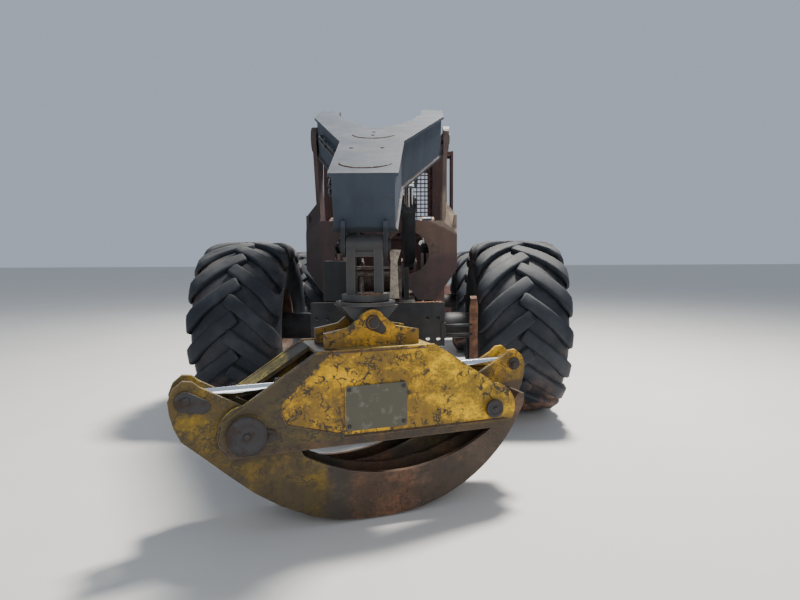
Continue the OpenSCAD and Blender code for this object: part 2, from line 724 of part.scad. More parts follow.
module rear_frame() {
    front = hinge_y - 500;
    in_x = rear_half_w - frame_t;
    color(frame_grey) difference() {
        union() {
            pair_x([[front, tongue_low], [front - 300, frame_bottom], [tail_y, frame_bottom + 120],
                [tail_y, rear_deck_z], [front - 280, rear_deck_z], [front - 180, tongue_top],
                [front, tongue_top]], in_x, frame_t);
            box([-in_x, front - frame_t, tongue_low], [in_x, front, tongue_top]);
            box([-in_x, tail_y + 200, rear_deck_z - 16], [in_x, front - 300, rear_deck_z]);
            box([-640, tail_y - 36, frame_bottom + 120], [640, tail_y, rear_deck_z + 10]);
            box([-in_x, tail_y, frame_bottom + 120], [in_x, front - 320, frame_bottom + 136]);
            for (z = [tongue_top - hinge_plate_t, tongue_low])
                hull() {
                    bar_z(fork_rear, z, z + hinge_plate_t, 0, hinge_y);
                    box([-200, front, z], [200, front + 10, z + hinge_plate_t]);
                }
            for (z = [steer_z - 75, steer_z + 45])
                both_sides()
                    box([steer_rear[0] - 44, front, z],
                        [steer_rear[0] + 44, hinge_y + steer_rear[1] + 44, z + 30]);
            for (x = [-300, 300])
                tie_down(x, tail_y - 36, frame_bottom + 230, -1);
            both_sides() {
                box([rear_half_w, arch_pin_y - 190, 1120], [600, arch_foot[0] + 90, 1250]);
                for (x = [leg_in - side_clear - 34, leg_out + side_clear])
                    plate_x([[arch_pin_y - 120, 1250], [arch_pin_y - 80, 1450], [arch_pin_y + 80, 1470],
                        [arch_pin_y + 170, 1250]], x, 34);
                for (x = [505 - 84, 505 + 56])
                    plate_x([[arch_foot[0] - 80, 1250], [arch_foot[0] - 60, arch_foot[1] + 50],
                        [arch_foot[0] + 60, arch_foot[1] + 50], [arch_foot[0] + 80, 1250]], x, 28);
            }
        }
        for (z = [tongue_top - hinge_plate_t - 5, tongue_low - 5])
            bar_z(steer_pin_r + pin_clear, z, z + hinge_plate_t + 10, 0, hinge_y);
        bar_x(rear_tube_r + seat_clear, -rear_half_w - 10, rear_half_w + 10, rear_axle_y, rear_axle_z);
        box([-in_x, rear_axle_y - 260, frame_bottom + 110], [in_x, rear_axle_y + 260, frame_bottom + 150]);
        both_sides() {
            bar_x(48 + seat_clear, leg_in - 60, leg_out + 60, arch_pin_y, arch_pin_z);
            bar_x(36 + seat_clear, 400, 620, arch_foot[0], arch_foot[1]);
            bar_x(eye_r, 250, 350, tail_y - 96, frame_bottom + 230);
            for (z = [950, 1150], x = [480, 580])
                bar_y(20, tail_y - 40, tail_y + 10, x, z);
        }
    }
    color(worn_steel) {
        both_sides() {
            bar_x(48, leg_in - 48, leg_out + 48, arch_pin_y, arch_pin_z);
            bar_x(36, 505 - 92, 505 + 92, arch_foot[0], arch_foot[1]);
            bar_z(22, steer_z - 82, steer_z - 75, steer_rear[0], hinge_y + steer_rear[1]);
            bar_z(22, steer_z + 75, steer_z + 82, steer_rear[0], hinge_y + steer_rear[1]);
        }
    }
}

rear_tube_r = 236 * 0.62;

module rear_axle() {
    color(frame_grey)
        axle(rear_axle_y, rear_axle_z, rear_track, rear_tyre_w, 236);
}

module winch() {
    y = rear_axle_y - 520;
    z = rear_deck_z + 200;
    color(frame_grey) {
        box([-560, y - 200, rear_deck_z], [-rear_half_w + 60, y + 140, rear_deck_z + 400]);
        box([250, y - 120, rear_deck_z], [300, y + 120, rear_deck_z + 330]);
        box([-300, y - 160, rear_deck_z], [250, y + 120, rear_deck_z + 24]);
    }
    color(worn_steel) {
        bar_x(110, -300, 250, y, z);
        bar_x(165, -300, -276, y, z);
        bar_x(165, 226, 250, y, z);
    }
}

module fairlead() {
    y = tail_y + 60;
    top = rear_deck_z + 330;
    color(frame_grey) {
        for (x = [-230, 206])
            box([x, y - 60, rear_deck_z + 10], [x + 24, y + 60, top]);
        box([-230, y - 60, top], [230, y + 60, top + 24]);
        box([-230, y - 60, rear_deck_z], [230, y + 60, rear_deck_z + 24]);
    }
    color(worn_steel) {
        bar_x(36, -206, 206, y, rear_deck_z + 64);
        bar_x(36, -206, 206, y, top - 40);
        for (x = [-160, 160])
            bar_z(30, rear_deck_z + 100, top - 76, x, y);
    }
}

// Steering cylinders between the frames, one on each side
module steer_place() {
    front = [steer_front[0], hinge_y + steer_front[1], steer_z];
    rear = [steer_rear[0], hinge_y + steer_rear[1], steer_z];
    aim(front, rear) children();
}

steer_len = norm([steer_front[0] - steer_rear[0], steer_front[1] - steer_rear[1]]);

module steer_barrel_left() {
    color(frame_grey) mirror([1, 0, 0]) steer_place() barrel(steer_size, 505);
}

module steer_barrel_right() {
    color(frame_grey) steer_place() barrel(steer_size, 505);
}

module steer_rod_left() {
    color(rod_chrome) mirror([1, 0, 0]) steer_place()
        translate([0, 0, steer_len]) rod(steer_size, 552);
}

module steer_rod_right() {
    color(rod_chrome) steer_place()
        translate([0, 0, steer_len]) rod(steer_size, 552);
}

// Arch: legs, cross tube, pierced rear plate, shoulders and cheeks up to the boom's pin
cheek_in = fork_half_w + side_clear;
arch_half_w = 830;
arch_plate_y = rear_axle_y - 100;
arch_eye = [arch_pin_y - 64, arch_pin_z + 713];
boom_foot = [arch_pin_y - 180, 1640];
boom_rod_len = 850;
boom_cyl_x = 300;

module arch() {
    p = arch_plate_y;
    color(body_brown) difference() {
        union() {
            plate_y([[-600, 1250], [-arch_half_w, 1590], [-arch_half_w, 1980], [-cheek_in, 2120],
                [cheek_in, 2120], [arch_half_w, 1980], [arch_half_w, 1590], [600, 1250],
                [400, 1250], [240, 1480], [-240, 1480], [-400, 1250]], p - 30, 30);
            both_sides() {
                plate_x([[p, 1590], [p, 2180], [p + 260, 2180], [p + 430, 1700], [p + 430, 1590]],
                    arch_half_w - 30, 30);
                plate_x([[p, 1500], [p, 2150], [boom_pin_y - 130, boom_pin_z - 60],
                    [boom_pin_y - 130, boom_pin_z + 60], [boom_pin_y + 60, boom_pin_z + 130],
                    [boom_pin_y + 130, boom_pin_z], [p + 330, 2250], [p + 470, 1700], [p + 470, 1500]],
                    cheek_in, cheek_t);
                plate_y([[cheek_in, 1590], [cheek_in, 2110], [arch_half_w, 1970], [arch_half_w, 1590]],
                    p + 400, 24);
                hull() {
                    box([cheek_in, p - 30, 2110], [cheek_in + 1, p - 6, 2111]);
                    box([arch_half_w - 1, p - 30, 1970], [arch_half_w, p - 6, 1971]);
                    box([cheek_in, p + 60, 2380], [cheek_in + 1, p + 84, 2381]);
                    box([arch_half_w - 1, p + 60, 2180], [arch_half_w, p + 84, 2181]);
                }
                bar_x(130, cheek_in, cheek_in + cheek_t + 18, boom_pin_y, boom_pin_z);
                for (x = [leg_in, leg_out - 28])
                    plate_x([[arch_pin_y - 60, arch_pin_z - 90], [arch_pin_y + 70, arch_pin_z - 80],
                        [arch_pin_y + 100, arch_pin_z + 40], [arch_pin_y + 20, 1760], [p, 1760],
                        [p, 1260]], x, 28);
                bar_x(98, leg_in, leg_out, arch_pin_y, arch_pin_z);
                for (x = [505 - 84, 505 + 56])
                    plate_x([[p, 1930], [p, 2110], [arch_eye[0] - 40, arch_eye[1] + 62],
                        [arch_eye[0] + 60, arch_eye[1] + 50], [arch_eye[0] + 60, arch_eye[1] - 50],
                        [arch_eye[0] - 60, arch_eye[1] - 90]], x, 28);
                for (x = [boom_cyl_x - 82, boom_cyl_x + 54])
                    plate_x([[boom_foot[0] - 70, 1480], [boom_foot[0] - 68, boom_foot[1] + 28],
                        [boom_foot[0] - 30, boom_foot[1] + 66], [boom_foot[0] + 36, boom_foot[1] + 62],
                        [boom_foot[0] + 70, boom_foot[1] + 10], [boom_foot[0] + 60, 1480]], x, 28);
            }
            bar_x(75, -cheek_in - 6, cheek_in + 6, boom_foot[0] - 10, 1462);
        }
        both_sides() {
            bar_y(235, p - 60, p + 30, 285, 1770);
            bar_x(48 + pin_clear, leg_in - 10, leg_out + 10, arch_pin_y, arch_pin_z);
            bar_x(boom_pin_r + seat_clear, cheek_in - 10, cheek_in + 90, boom_pin_y, boom_pin_z);
            bar_x(boom_size[2] / 2 + seat_clear, boom_cyl_x - 100, boom_cyl_x + 100, boom_foot[0], boom_foot[1]);
        }
    }
    color(worn_steel) both_sides() {
        bar_x(boom_pin_r, fork_half_w - horn_w + 20, cheek_in + cheek_t + 30, boom_pin_y, boom_pin_z);
        bar_x(boom_size[2] / 2, boom_cyl_x - 90, boom_cyl_x + 90, boom_foot[0], boom_foot[1]);
        bar_x(30, 505 - 90, 505 - 84, arch_eye[0], arch_eye[1]);
        bar_x(30, 505 + 84, 505 + 90, arch_eye[0], arch_eye[1]);
    }
}

module arch_barrels() {
    color(frame_grey)
        for (x = [-505, 505])
            aim([x, arch_foot[0], arch_foot[1]], [x, arch_eye[0], arch_eye[1]])
                rotate(90) barrel(arch_size, 640);
}

module arch_rods() {
    color(rod_chrome)
        for (x = [-505, 505])
            aim([x, arch_foot[0], arch_foot[1]], [x, arch_eye[0], arch_eye[1]])
                translate([0, 0, norm(arch_eye - arch_foot)]) rotate(90) rod(arch_size, 560);
}

// Boom in its own frame: origin at its pin, x across, s along its slope, t square to it
module on_boom() {
    translate([0, boom_pin_y, boom_pin_z]) rotate([boom_slope, 0, 0]) children();
}

boom_top_t = 257;
boom_front_s = 300;
boom_tip_s = -2567;
boom_eye_s = -845;
boom_eye_t = boom_top_t - boom_depth - 84;
horn_in = fork_half_w - horn_w;

// Half outline of the boom from its tip to its horns as [x, s], less an edge margin
function boom_half(edge) = [[235 - edge, boom_tip_s], [266 - edge, -1475], [fork_half_w - edge, -180],
    [fork_half_w - edge, boom_front_s - 60], [fork_half_w - 70 - edge, boom_front_s],
    [horn_in, boom_front_s], [horn_in - 10, -10], [330, -360], [200, -650], [90, -775], [0, -801]];

module boom_outline(edge) {
    half = boom_half(edge);
    polygon(concat(half, [for (i = [len(half) - 2:-1:0]) [-half[i][0], half[i][1]]]));
}

module boom() {
    low = boom_top_t - boom_depth;
    cheek_x = 157;
    color(boom_grey) difference() {
        union() {
            on_boom() {
                translate([0, 0, boom_top_t - 25]) linear_extrude(25) boom_outline(0);
                translate([0, 0, low]) linear_extrude(boom_depth - 25) boom_outline(24);
                translate([0, 0, low]) linear_extrude(22) boom_outline(8);
                both_sides()
                    for (x = [boom_cyl_x - 82, boom_cyl_x + 54])
                        plate_x([[boom_eye_s - 110, low + 20], [boom_eye_s - 62, boom_eye_t - 30],
                            [boom_eye_s - 20, boom_eye_t - 66], [boom_eye_s + 40, boom_eye_t - 56],
                            [boom_eye_s + 66, boom_eye_t], [boom_eye_s + 110, low + 20]], x, 28);
            }
            both_sides() {
                bar_x(85, cheek_x - 27, cheek_x, grapple_y, tip_pin_z);
                plate_x([[grapple_y - 82, tip_pin_z + 20], [grapple_y - 60, tip_pin_z - 60],
                    [grapple_y + 60, tip_pin_z - 60], [grapple_y + 190, tip_pin_z + 215],
                    [grapple_y - 60, tip_pin_z + 160]], cheek_x - 27, 27);
            }
        }
        both_sides()
            bar_x(boom_pin_r + pin_clear, horn_in - 20, fork_half_w + 20, boom_pin_y, boom_pin_z);
        bar_x(45 + seat_clear, -cheek_x - 20, cheek_x + 20, grapple_y, tip_pin_z);
    }
    color(worn_steel) {
        bar_x(45, -cheek_x - 18, cheek_x + 18, grapple_y, tip_pin_z);
        on_boom() both_sides() {
            bar_x(34, boom_cyl_x - 88, boom_cyl_x - 82, boom_eye_s, boom_eye_t);
            bar_x(34, boom_cyl_x + 82, boom_cyl_x + 88, boom_eye_s, boom_eye_t);
        }
    }
}

// Rod eye of the boom's cylinders in the machine's frame as [y, z]
boom_eye = [boom_pin_y + boom_eye_s * cos(boom_slope) - boom_eye_t * sin(boom_slope),
    boom_pin_z + boom_eye_s * sin(boom_slope) + boom_eye_t * cos(boom_slope)];

module boom_barrels() {
    color(frame_grey)
        for (x = [-boom_cyl_x, boom_cyl_x])
            aim([x, boom_foot[0], boom_foot[1]], [x, boom_eye[0], boom_eye[1]])
                rotate(90) barrel(boom_size, 950);
}

module boom_rods() {
    color(rod_chrome)
        for (x = [-boom_cyl_x, boom_cyl_x])
            aim([x, boom_foot[0], boom_foot[1]], [x, boom_eye[0], boom_eye[1]])
                translate([0, 0, norm(boom_eye - boom_foot)]) rotate(90) rod(boom_size, boom_rod_len);
}

// Link under the boom's tip with the fixed half of the swivel
link_half = 157 - 27 - side_clear;
stator_z = 1456;

module grapple_link() {
    color(frame_grey) difference() {
        union() {
            bar_x(70, -link_half, link_half, grapple_y, tip_pin_z);
            both_sides()
                box([64, grapple_y - 64, stator_z + 30], [link_half, grapple_y + 64, tip_pin_z]);
            box([-64, grapple_y - 50, tip_pin_z - 80], [64, grapple_y + 50, tip_pin_z]);
            bar_z(165, stator_z, stator_z + 44, 0, grapple_y);
        }
        bar_x(45 + pin_clear, -link_half - 10, link_half + 10, grapple_y, tip_pin_z);
        bar_z(70 + pin_clear, stator_z - 10, stator_z + 34, 0, grapple_y);
    }
}

// Children in the grapple's own frame, turned about its swivel
module on_grapple() {
    translate([0, grapple_y, 0]) rotate(grapple_yaw) children();
}

lug_in = 125;
lug_t = 40;
lug_pin_r = 40;

module swivel_yoke() {
    top = stator_z - side_clear;
    half = lug_in - side_clear;
    color(frame_grey) on_grapple() difference() {
        union() {
            bar_z(205, top - 24, top, 0, 0);
            bar_z(70, top, stator_z + 30, 0, 0);
            plate_y([[-200, top - 24], [200, top - 24], [72, lug_pin_z - 34], [-72, lug_pin_z - 34]],
                -half, 2 * half);
            bar_y(80, -half, half, 0, lug_pin_z);
        }
        bar_y(lug_pin_r + pin_clear, -half - 10, half + 10, 0, lug_pin_z);
    }
}

// Grapple head: two main plates, the lugs above them, the tongs' pins and the top plates
head_half = head_depth / 2;
head_top_z = 1167;
tong_foot_u = 250;
tong_foot_z = 930;
tong_mid_v = 136;

module head_outline() {
    polygon([[-400, head_top_z], [-1000, 772], [-tong_pin_u - 60, 545], [tong_pin_u + 60, 545],
        [1000, 772], [400, head_top_z]]);
    for (u = [-tong_pin_u, tong_pin_u])
        translate([u, tong_pin_z]) circle(r = 176);
}

module head_plate(v, t) {
    translate([0, v + t, 0]) rotate([90, 0, 0]) linear_extrude(t) intersection() {
        head_outline();
        translate([-1200, 545]) square([2400, 700]);
    }
}

module grapple_head() {
    color(grapple_yellow) on_grapple() difference() {
        union() {
            head_plate(-head_half, head_t);
            head_plate(head_half - head_t, head_t);
            box([-400, -head_half + head_t, head_top_z - 30], [400, head_half - head_t, head_top_z - 8]);
            for (v = [-lug_in - lug_t, lug_in]) {
                plate_y([[-330, head_top_z - 20], [-330, 1258], [-165, 1288], [-75, 1360],
                    [75, 1360], [165, 1288], [330, 1258], [330, head_top_z - 20]], v, lug_t);
                bar_y(88, v, v + lug_t, 0, lug_pin_z);
            }
            for (turn = [0, 180])
                rotate(turn) {
                    plate_y([[394, head_top_z - 8], [985, 782], [972, 762], [381, head_top_z - 30]],
                        -head_half + head_t, head_half - head_t - 12);
                    plate_y([[-tong_foot_u - 56, 870], [-tong_foot_u - 56, 1000],
                        [-tong_foot_u - 100, 1140], [-tong_foot_u + 100, 1140],
                        [-tong_foot_u + 56, 1000], [-tong_foot_u + 56, 870]], 48, 26);
                }
            plate_y([[-330, 1145], [-400, head_top_z], [-990, 770], [-1015, 640], [-940, 548],
                [-244, 548], [-244, 620], [-600, 715], [-640, 800]], -head_half - 12, 12);
            plate_y([[-244, 548], [930, 548], [960, 600], [-244, 600]], -head_half - 12, 12);
            plate_y([[-235, 638], [190, 638], [190, 922], [-235, 922]], -head_half - 10, 10);
        }
        bar_y(lug_pin_r + seat_clear, -lug_in - 60, lug_in + 60, 0, lug_pin_z);
        for (u = [-tong_pin_u, tong_pin_u])
            bar_y(52 + seat_clear, -head_half - 20, head_half + 10, u, tong_pin_z);
        for (turn = [0, 180])
            rotate(turn)
                bar_y(tong_size[2] / 2 + seat_clear, 30, head_half + 10, -tong_foot_u, tong_foot_z);
    }
    color(worn_steel) on_grapple() {
        bar_y(lug_pin_r, -lug_in - lug_t - 16, lug_in + lug_t + 16, 0, lug_pin_z);
        for (turn = [0, 180])
            rotate(turn) {
                bar_y(52, -head_half - 14, head_half + 10, tong_pin_u, tong_pin_z);
                bar_y(tong_size[2] / 2, 42, head_half + 8, -tong_foot_u, tong_foot_z);
            }
        bar_y(118, -head_half - 40, -head_half - 12, -tong_pin_u, tong_pin_z);
        bar_y(62, -head_half - 20, -head_half, tong_pin_u, tong_pin_z);
    }
}

// Outline of the left tong: a crescent between two circles, its root and its lobe
tong_eye = [-1175, 923];
tong_outer_r = 1130;
tong_arc_u = 80;
tong_sole_t = 40;

module crescent() {
    intersection() {
        difference() {
            translate([tong_arc_u, tong_low_z + tong_outer_r]) circle(r = tong_outer_r, $fn = 128);
            translate([tong_arc_u + 70, tong_low_z + 1530]) circle(r = 1230, $fn = 128);
        }
        translate([-800, 0]) square([1920, 760]);
    }
}

// Outer edge of a tong from its lobe to the middle of its arc, as [along, height]
tong_edge = [[-1290, 915], [-1283, 840], [-1262, 755], [-1222, 668], [-1070, 530],
    [-955, 425], [-810, 298], [-639, 182], [-444, 84], [-269, 34], [-100, 16],
    [60, tong_low_z]];

module tong_root() {
    polygon(concat(tong_edge, [[60, 150], [-250, 200], [-400, 300], [-510, 530], [-660, 600],
        [-716, 780], [-860, 850], [-1110, 990], [-1150, 1025], [-1205, 1032], [-1262, 985]]));
}

// The sole that joins a tong's two plates along its outer edge
module tong_sole() {
    outer = [for (i = [3:len(tong_edge) - 1]) tong_edge[i]];
    polygon(concat(outer, [[60, 50], [-100, 57], [-260, 76], [-425, 124], [-612, 220],
        [-785, 335], [-928, 458], [-1040, 560], [-1192, 700]]));
}

// Left tong's side plate from v over a thickness
module tong_plate(v, t) {
    translate([0, v + t, 0]) rotate([90, 0, 0]) linear_extrude(t) union() {
        crescent();
        tong_root();
        translate(tong_eye) circle(r = 84);
    }
}

module tong() {
    v0 = -head_half + head_t + side_clear + 4;
    w = 232;
    color(grapple_yellow) difference() {
        union() {
            tong_plate(v0, 34);
            tong_plate(v0 + w - 34, 34);
            translate([0, v0 + w, 0]) rotate([90, 0, 0]) linear_extrude(w) union() {
                difference() {
                    crescent();
                    translate([tong_arc_u, tong_low_z + tong_outer_r])
                        circle(r = tong_outer_r - tong_sole_t, $fn = 128);
                }
                tong_sole();
            }
            bar_y(95, v0, v0 + w, -tong_pin_u, tong_pin_z);
        }
        bar_y(52 + pin_clear, v0 - 10, v0 + w + 10, -tong_pin_u, tong_pin_z);
    }
    color(worn_steel) {
        bar_y(40, v0 - 6, v0, tong_eye[0], tong_eye[1]);
        bar_y(40, v0 + w, v0 + w + 6, tong_eye[0], tong_eye[1]);
    }
}

module tong_left() {
    on_grapple() tong();
}

module tong_right() {
    on_grapple() rotate(180) tong();
}

// Tong cylinders: the left tong's one lies in the rear-facing half of the head
module tong_cyl_place() {
    aim([tong_foot_u, -tong_mid_v, tong_foot_z], [tong_eye[0], -tong_mid_v, tong_eye[1]])
        rotate(90) children();
}

tong_cyl_len = norm([tong_foot_u - tong_eye[0], tong_foot_z - tong_eye[1]]);

module tong_barrel_left() {
    color(frame_grey) on_grapple() tong_cyl_place() barrel(tong_size, 900);
}

module tong_barrel_right() {
    color(frame_grey) on_grapple() rotate(180) tong_cyl_place() barrel(tong_size, 900);
}

module tong_rod_left() {
    color(rod_chrome) on_grapple() tong_cyl_place()
        translate([0, 0, tong_cyl_len]) rod(tong_size, 900);
}

module tong_rod_right() {
    color(rod_chrome) on_grapple() rotate(180) tong_cyl_place()
        translate([0, 0, tong_cyl_len]) rod(tong_size, 900);
}

// Wheels
module rear_wheel_at(side) {
    translate([side * rear_track / 2, rear_axle_y, rear_axle_z]) children();
}

module front_wheel_at(side) {
    translate([side * front_track / 2, front_axle_y, front_axle_z]) children();
}

module tyre_rear_left() {
    color(tyre_black) rear_wheel_at(-1) tyre(rear_tyre_od, rear_tyre_w, -1);
}

module tyre_rear_right() {
    color(tyre_black) rear_wheel_at(1) tyre(rear_tyre_od, rear_tyre_w, 1);
}

module tyre_front_left() {
    color(tyre_black) front_wheel_at(-1) tyre(front_tyre_od, front_tyre_w, -1);
}

module tyre_front_right() {
    color(tyre_black) front_wheel_at(1) tyre(front_tyre_od, front_tyre_w, 1);
}

module rim_rear_left() {
    color(rim_brown) rear_wheel_at(-1) mirror([1, 0, 0]) rim(rear_tyre_w);
}

module rim_rear_right() {
    color(rim_brown) rear_wheel_at(1) rim(rear_tyre_w);
}

module rim_front_left() {
    color(rim_brown) front_wheel_at(-1) mirror([1, 0, 0]) rim(front_tyre_w);
}

module rim_front_right() {
    color(rim_brown) front_wheel_at(1) rim(front_tyre_w);
}

front_frame();
front_axle();
engine_block();
hood();
grille();
exhaust_stack();
air_cleaner();
cab_shell();
cab_roof();
rear_guard();
door_left();
door_right();
seat();
controls();
tank_left();
tank_right();
front_fenders();
lamps();
blade();
blade_barrels();
blade_rods();
rear_frame();
rear_axle();
fairlead();
winch();
steer_barrel_left();
steer_rod_left();
steer_barrel_right();
steer_rod_right();
arch();
arch_barrels();
arch_rods();
boom();
boom_barrels();
boom_rods();
grapple_link();
swivel_yoke();
grapple_head();
tong_left();
tong_right();
tong_barrel_left();
tong_rod_left();
tong_barrel_right();
tong_rod_right();
tyre_rear_left();
tyre_rear_right();
tyre_front_left();
tyre_front_right();
rim_rear_left();
rim_rear_right();
rim_front_left();
rim_front_right();
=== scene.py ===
"""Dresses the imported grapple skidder: tyres, guards, weld beads, bolts, seat, paints and wear."""
import logging
import math
from dataclasses import dataclass, field
from enum import Enum
from typing import ClassVar, Iterable, Sequence, Union

import bmesh
import bpy
from mathutils import Matrix, Vector


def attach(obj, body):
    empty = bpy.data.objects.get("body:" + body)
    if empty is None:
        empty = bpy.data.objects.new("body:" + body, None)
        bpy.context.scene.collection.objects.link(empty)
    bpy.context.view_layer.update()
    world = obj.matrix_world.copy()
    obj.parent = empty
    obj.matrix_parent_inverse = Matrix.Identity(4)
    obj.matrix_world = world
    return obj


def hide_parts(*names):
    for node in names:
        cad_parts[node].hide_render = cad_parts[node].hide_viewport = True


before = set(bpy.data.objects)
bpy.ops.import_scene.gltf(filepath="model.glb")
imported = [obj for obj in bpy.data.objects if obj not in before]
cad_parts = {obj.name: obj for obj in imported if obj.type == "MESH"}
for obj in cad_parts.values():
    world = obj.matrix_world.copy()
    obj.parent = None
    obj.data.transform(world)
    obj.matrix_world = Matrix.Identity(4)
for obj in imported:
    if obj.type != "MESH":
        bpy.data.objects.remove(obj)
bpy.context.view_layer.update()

LOG = logging.getLogger("skidder")
Colour = tuple[float, float, float]
Point = tuple[float, float, float]
Flat = tuple[float, float]
Thing = bpy.types.Object
Material = bpy.types.Material
Socket = bpy.types.NodeSocket
Number = Union["Value", float]
Paintable = Union[Socket, Colour]

ORIGIN = (0.0, 0.0, 0.0)
UP = (0.0, 0.0, 1.0)
SIDES = (("left", -1), ("right", 1))
MERGE_DISTANCE = 1e-5


class Slot(Enum):
    """Material slots of the record."""

    BODY = "body_paint"
    FRAME = "frame_paint"
    BOOM = "boom_paint"
    GRAPPLE = "grapple_paint"
    TYRE = "tyre_rubber"
    RIM = "rim_paint"
    BURNT = "burnt_steel"
    TRIM = "trim_black"
    SEAT = "seat_cloth"


class Axis(Enum):
    """Direction in which a plate or a turned part lies."""

    X = 0
    Y = 1
    Z = 2

    def others(self) -> list[int]:
        """The numbers of the two other axes, in order."""
        return [i for i in range(3) if i != self.value]

    def spot(self, pair: Flat, level: float) -> Point:
        """Point of a flat outline, lifted to a level along this axis."""
        return (*pair[:self.value], level, *pair[self.value:])


# Node helpers


@dataclass(frozen=True)
class Value:
    """A number socket of a material, which Python's operators extend with Math nodes."""

    graph: "Graph"
    socket: Socket

    def __add__(self, other: Number) -> "Value":
        """Sum."""
        return self.graph.math("ADD", self, other)

    __radd__ = __add__

    def __sub__(self, other: Number) -> "Value":
        """Difference."""
        return self.graph.math("SUBTRACT", self, other)

    def __rsub__(self, other: Number) -> "Value":
        """Difference from a number."""
        return self.graph.math("SUBTRACT", other, self)

    def __mul__(self, other: Number) -> "Value":
        """Product."""
        return self.graph.math("MULTIPLY", self, other)

    __rmul__ = __mul__

    def __truediv__(self, other: Number) -> "Value":
        """Quotient."""
        return self.graph.math("DIVIDE", self, other)

    def __rtruediv__(self, other: Number) -> "Value":
        """Quotient of a number."""
        return self.graph.math("DIVIDE", other, self)

    def larger(self, other: Number) -> "Value":
        """Larger of the two."""
        return self.graph.math("MAXIMUM", self, other)

    def step(self, low: float, high: float) -> "Value":
        """Smooth step from 0 at low to 1 at high."""
        node = self.graph.node("ShaderNodeMapRange", {"interpolation_type": "SMOOTHSTEP"},
                               {"Value": self, "From Min": low, "From Max": high})
        return Value(self.graph, node.outputs[0])


class Nodes:
    """Base of the material and mesh trees, with the one method that adds their nodes."""

    tree: bpy.types.NodeTree

    def node(self, kind: str, settings: dict | None = None,
             inputs: dict | None = None) -> bpy.types.Node:
        """Adds a node, with its settings first and then its sockets.

        Args:
            kind: the node's type.
            settings: its properties.
            inputs: values or links by socket name, identifier or index.

        Returns:
            The node.
        """
        node = self.tree.nodes.new(kind)
        for key, item in (settings or {}).items():
            setattr(node, key, item)
        for key, item in (inputs or {}).items():
            if isinstance(key, int):
                socket = node.inputs[key]
            else:
                socket = next(s for s in node.inputs if key in (s.identifier, s.name))
            item = item.socket if isinstance(item, Value) else item
            if isinstance(item, Socket):
                self.tree.links.new(item, socket)
            elif isinstance(item, tuple) and socket.type == "RGBA":
                socket.default_value = (*item, 1.0)
            else:
                socket.default_value = item
        return node


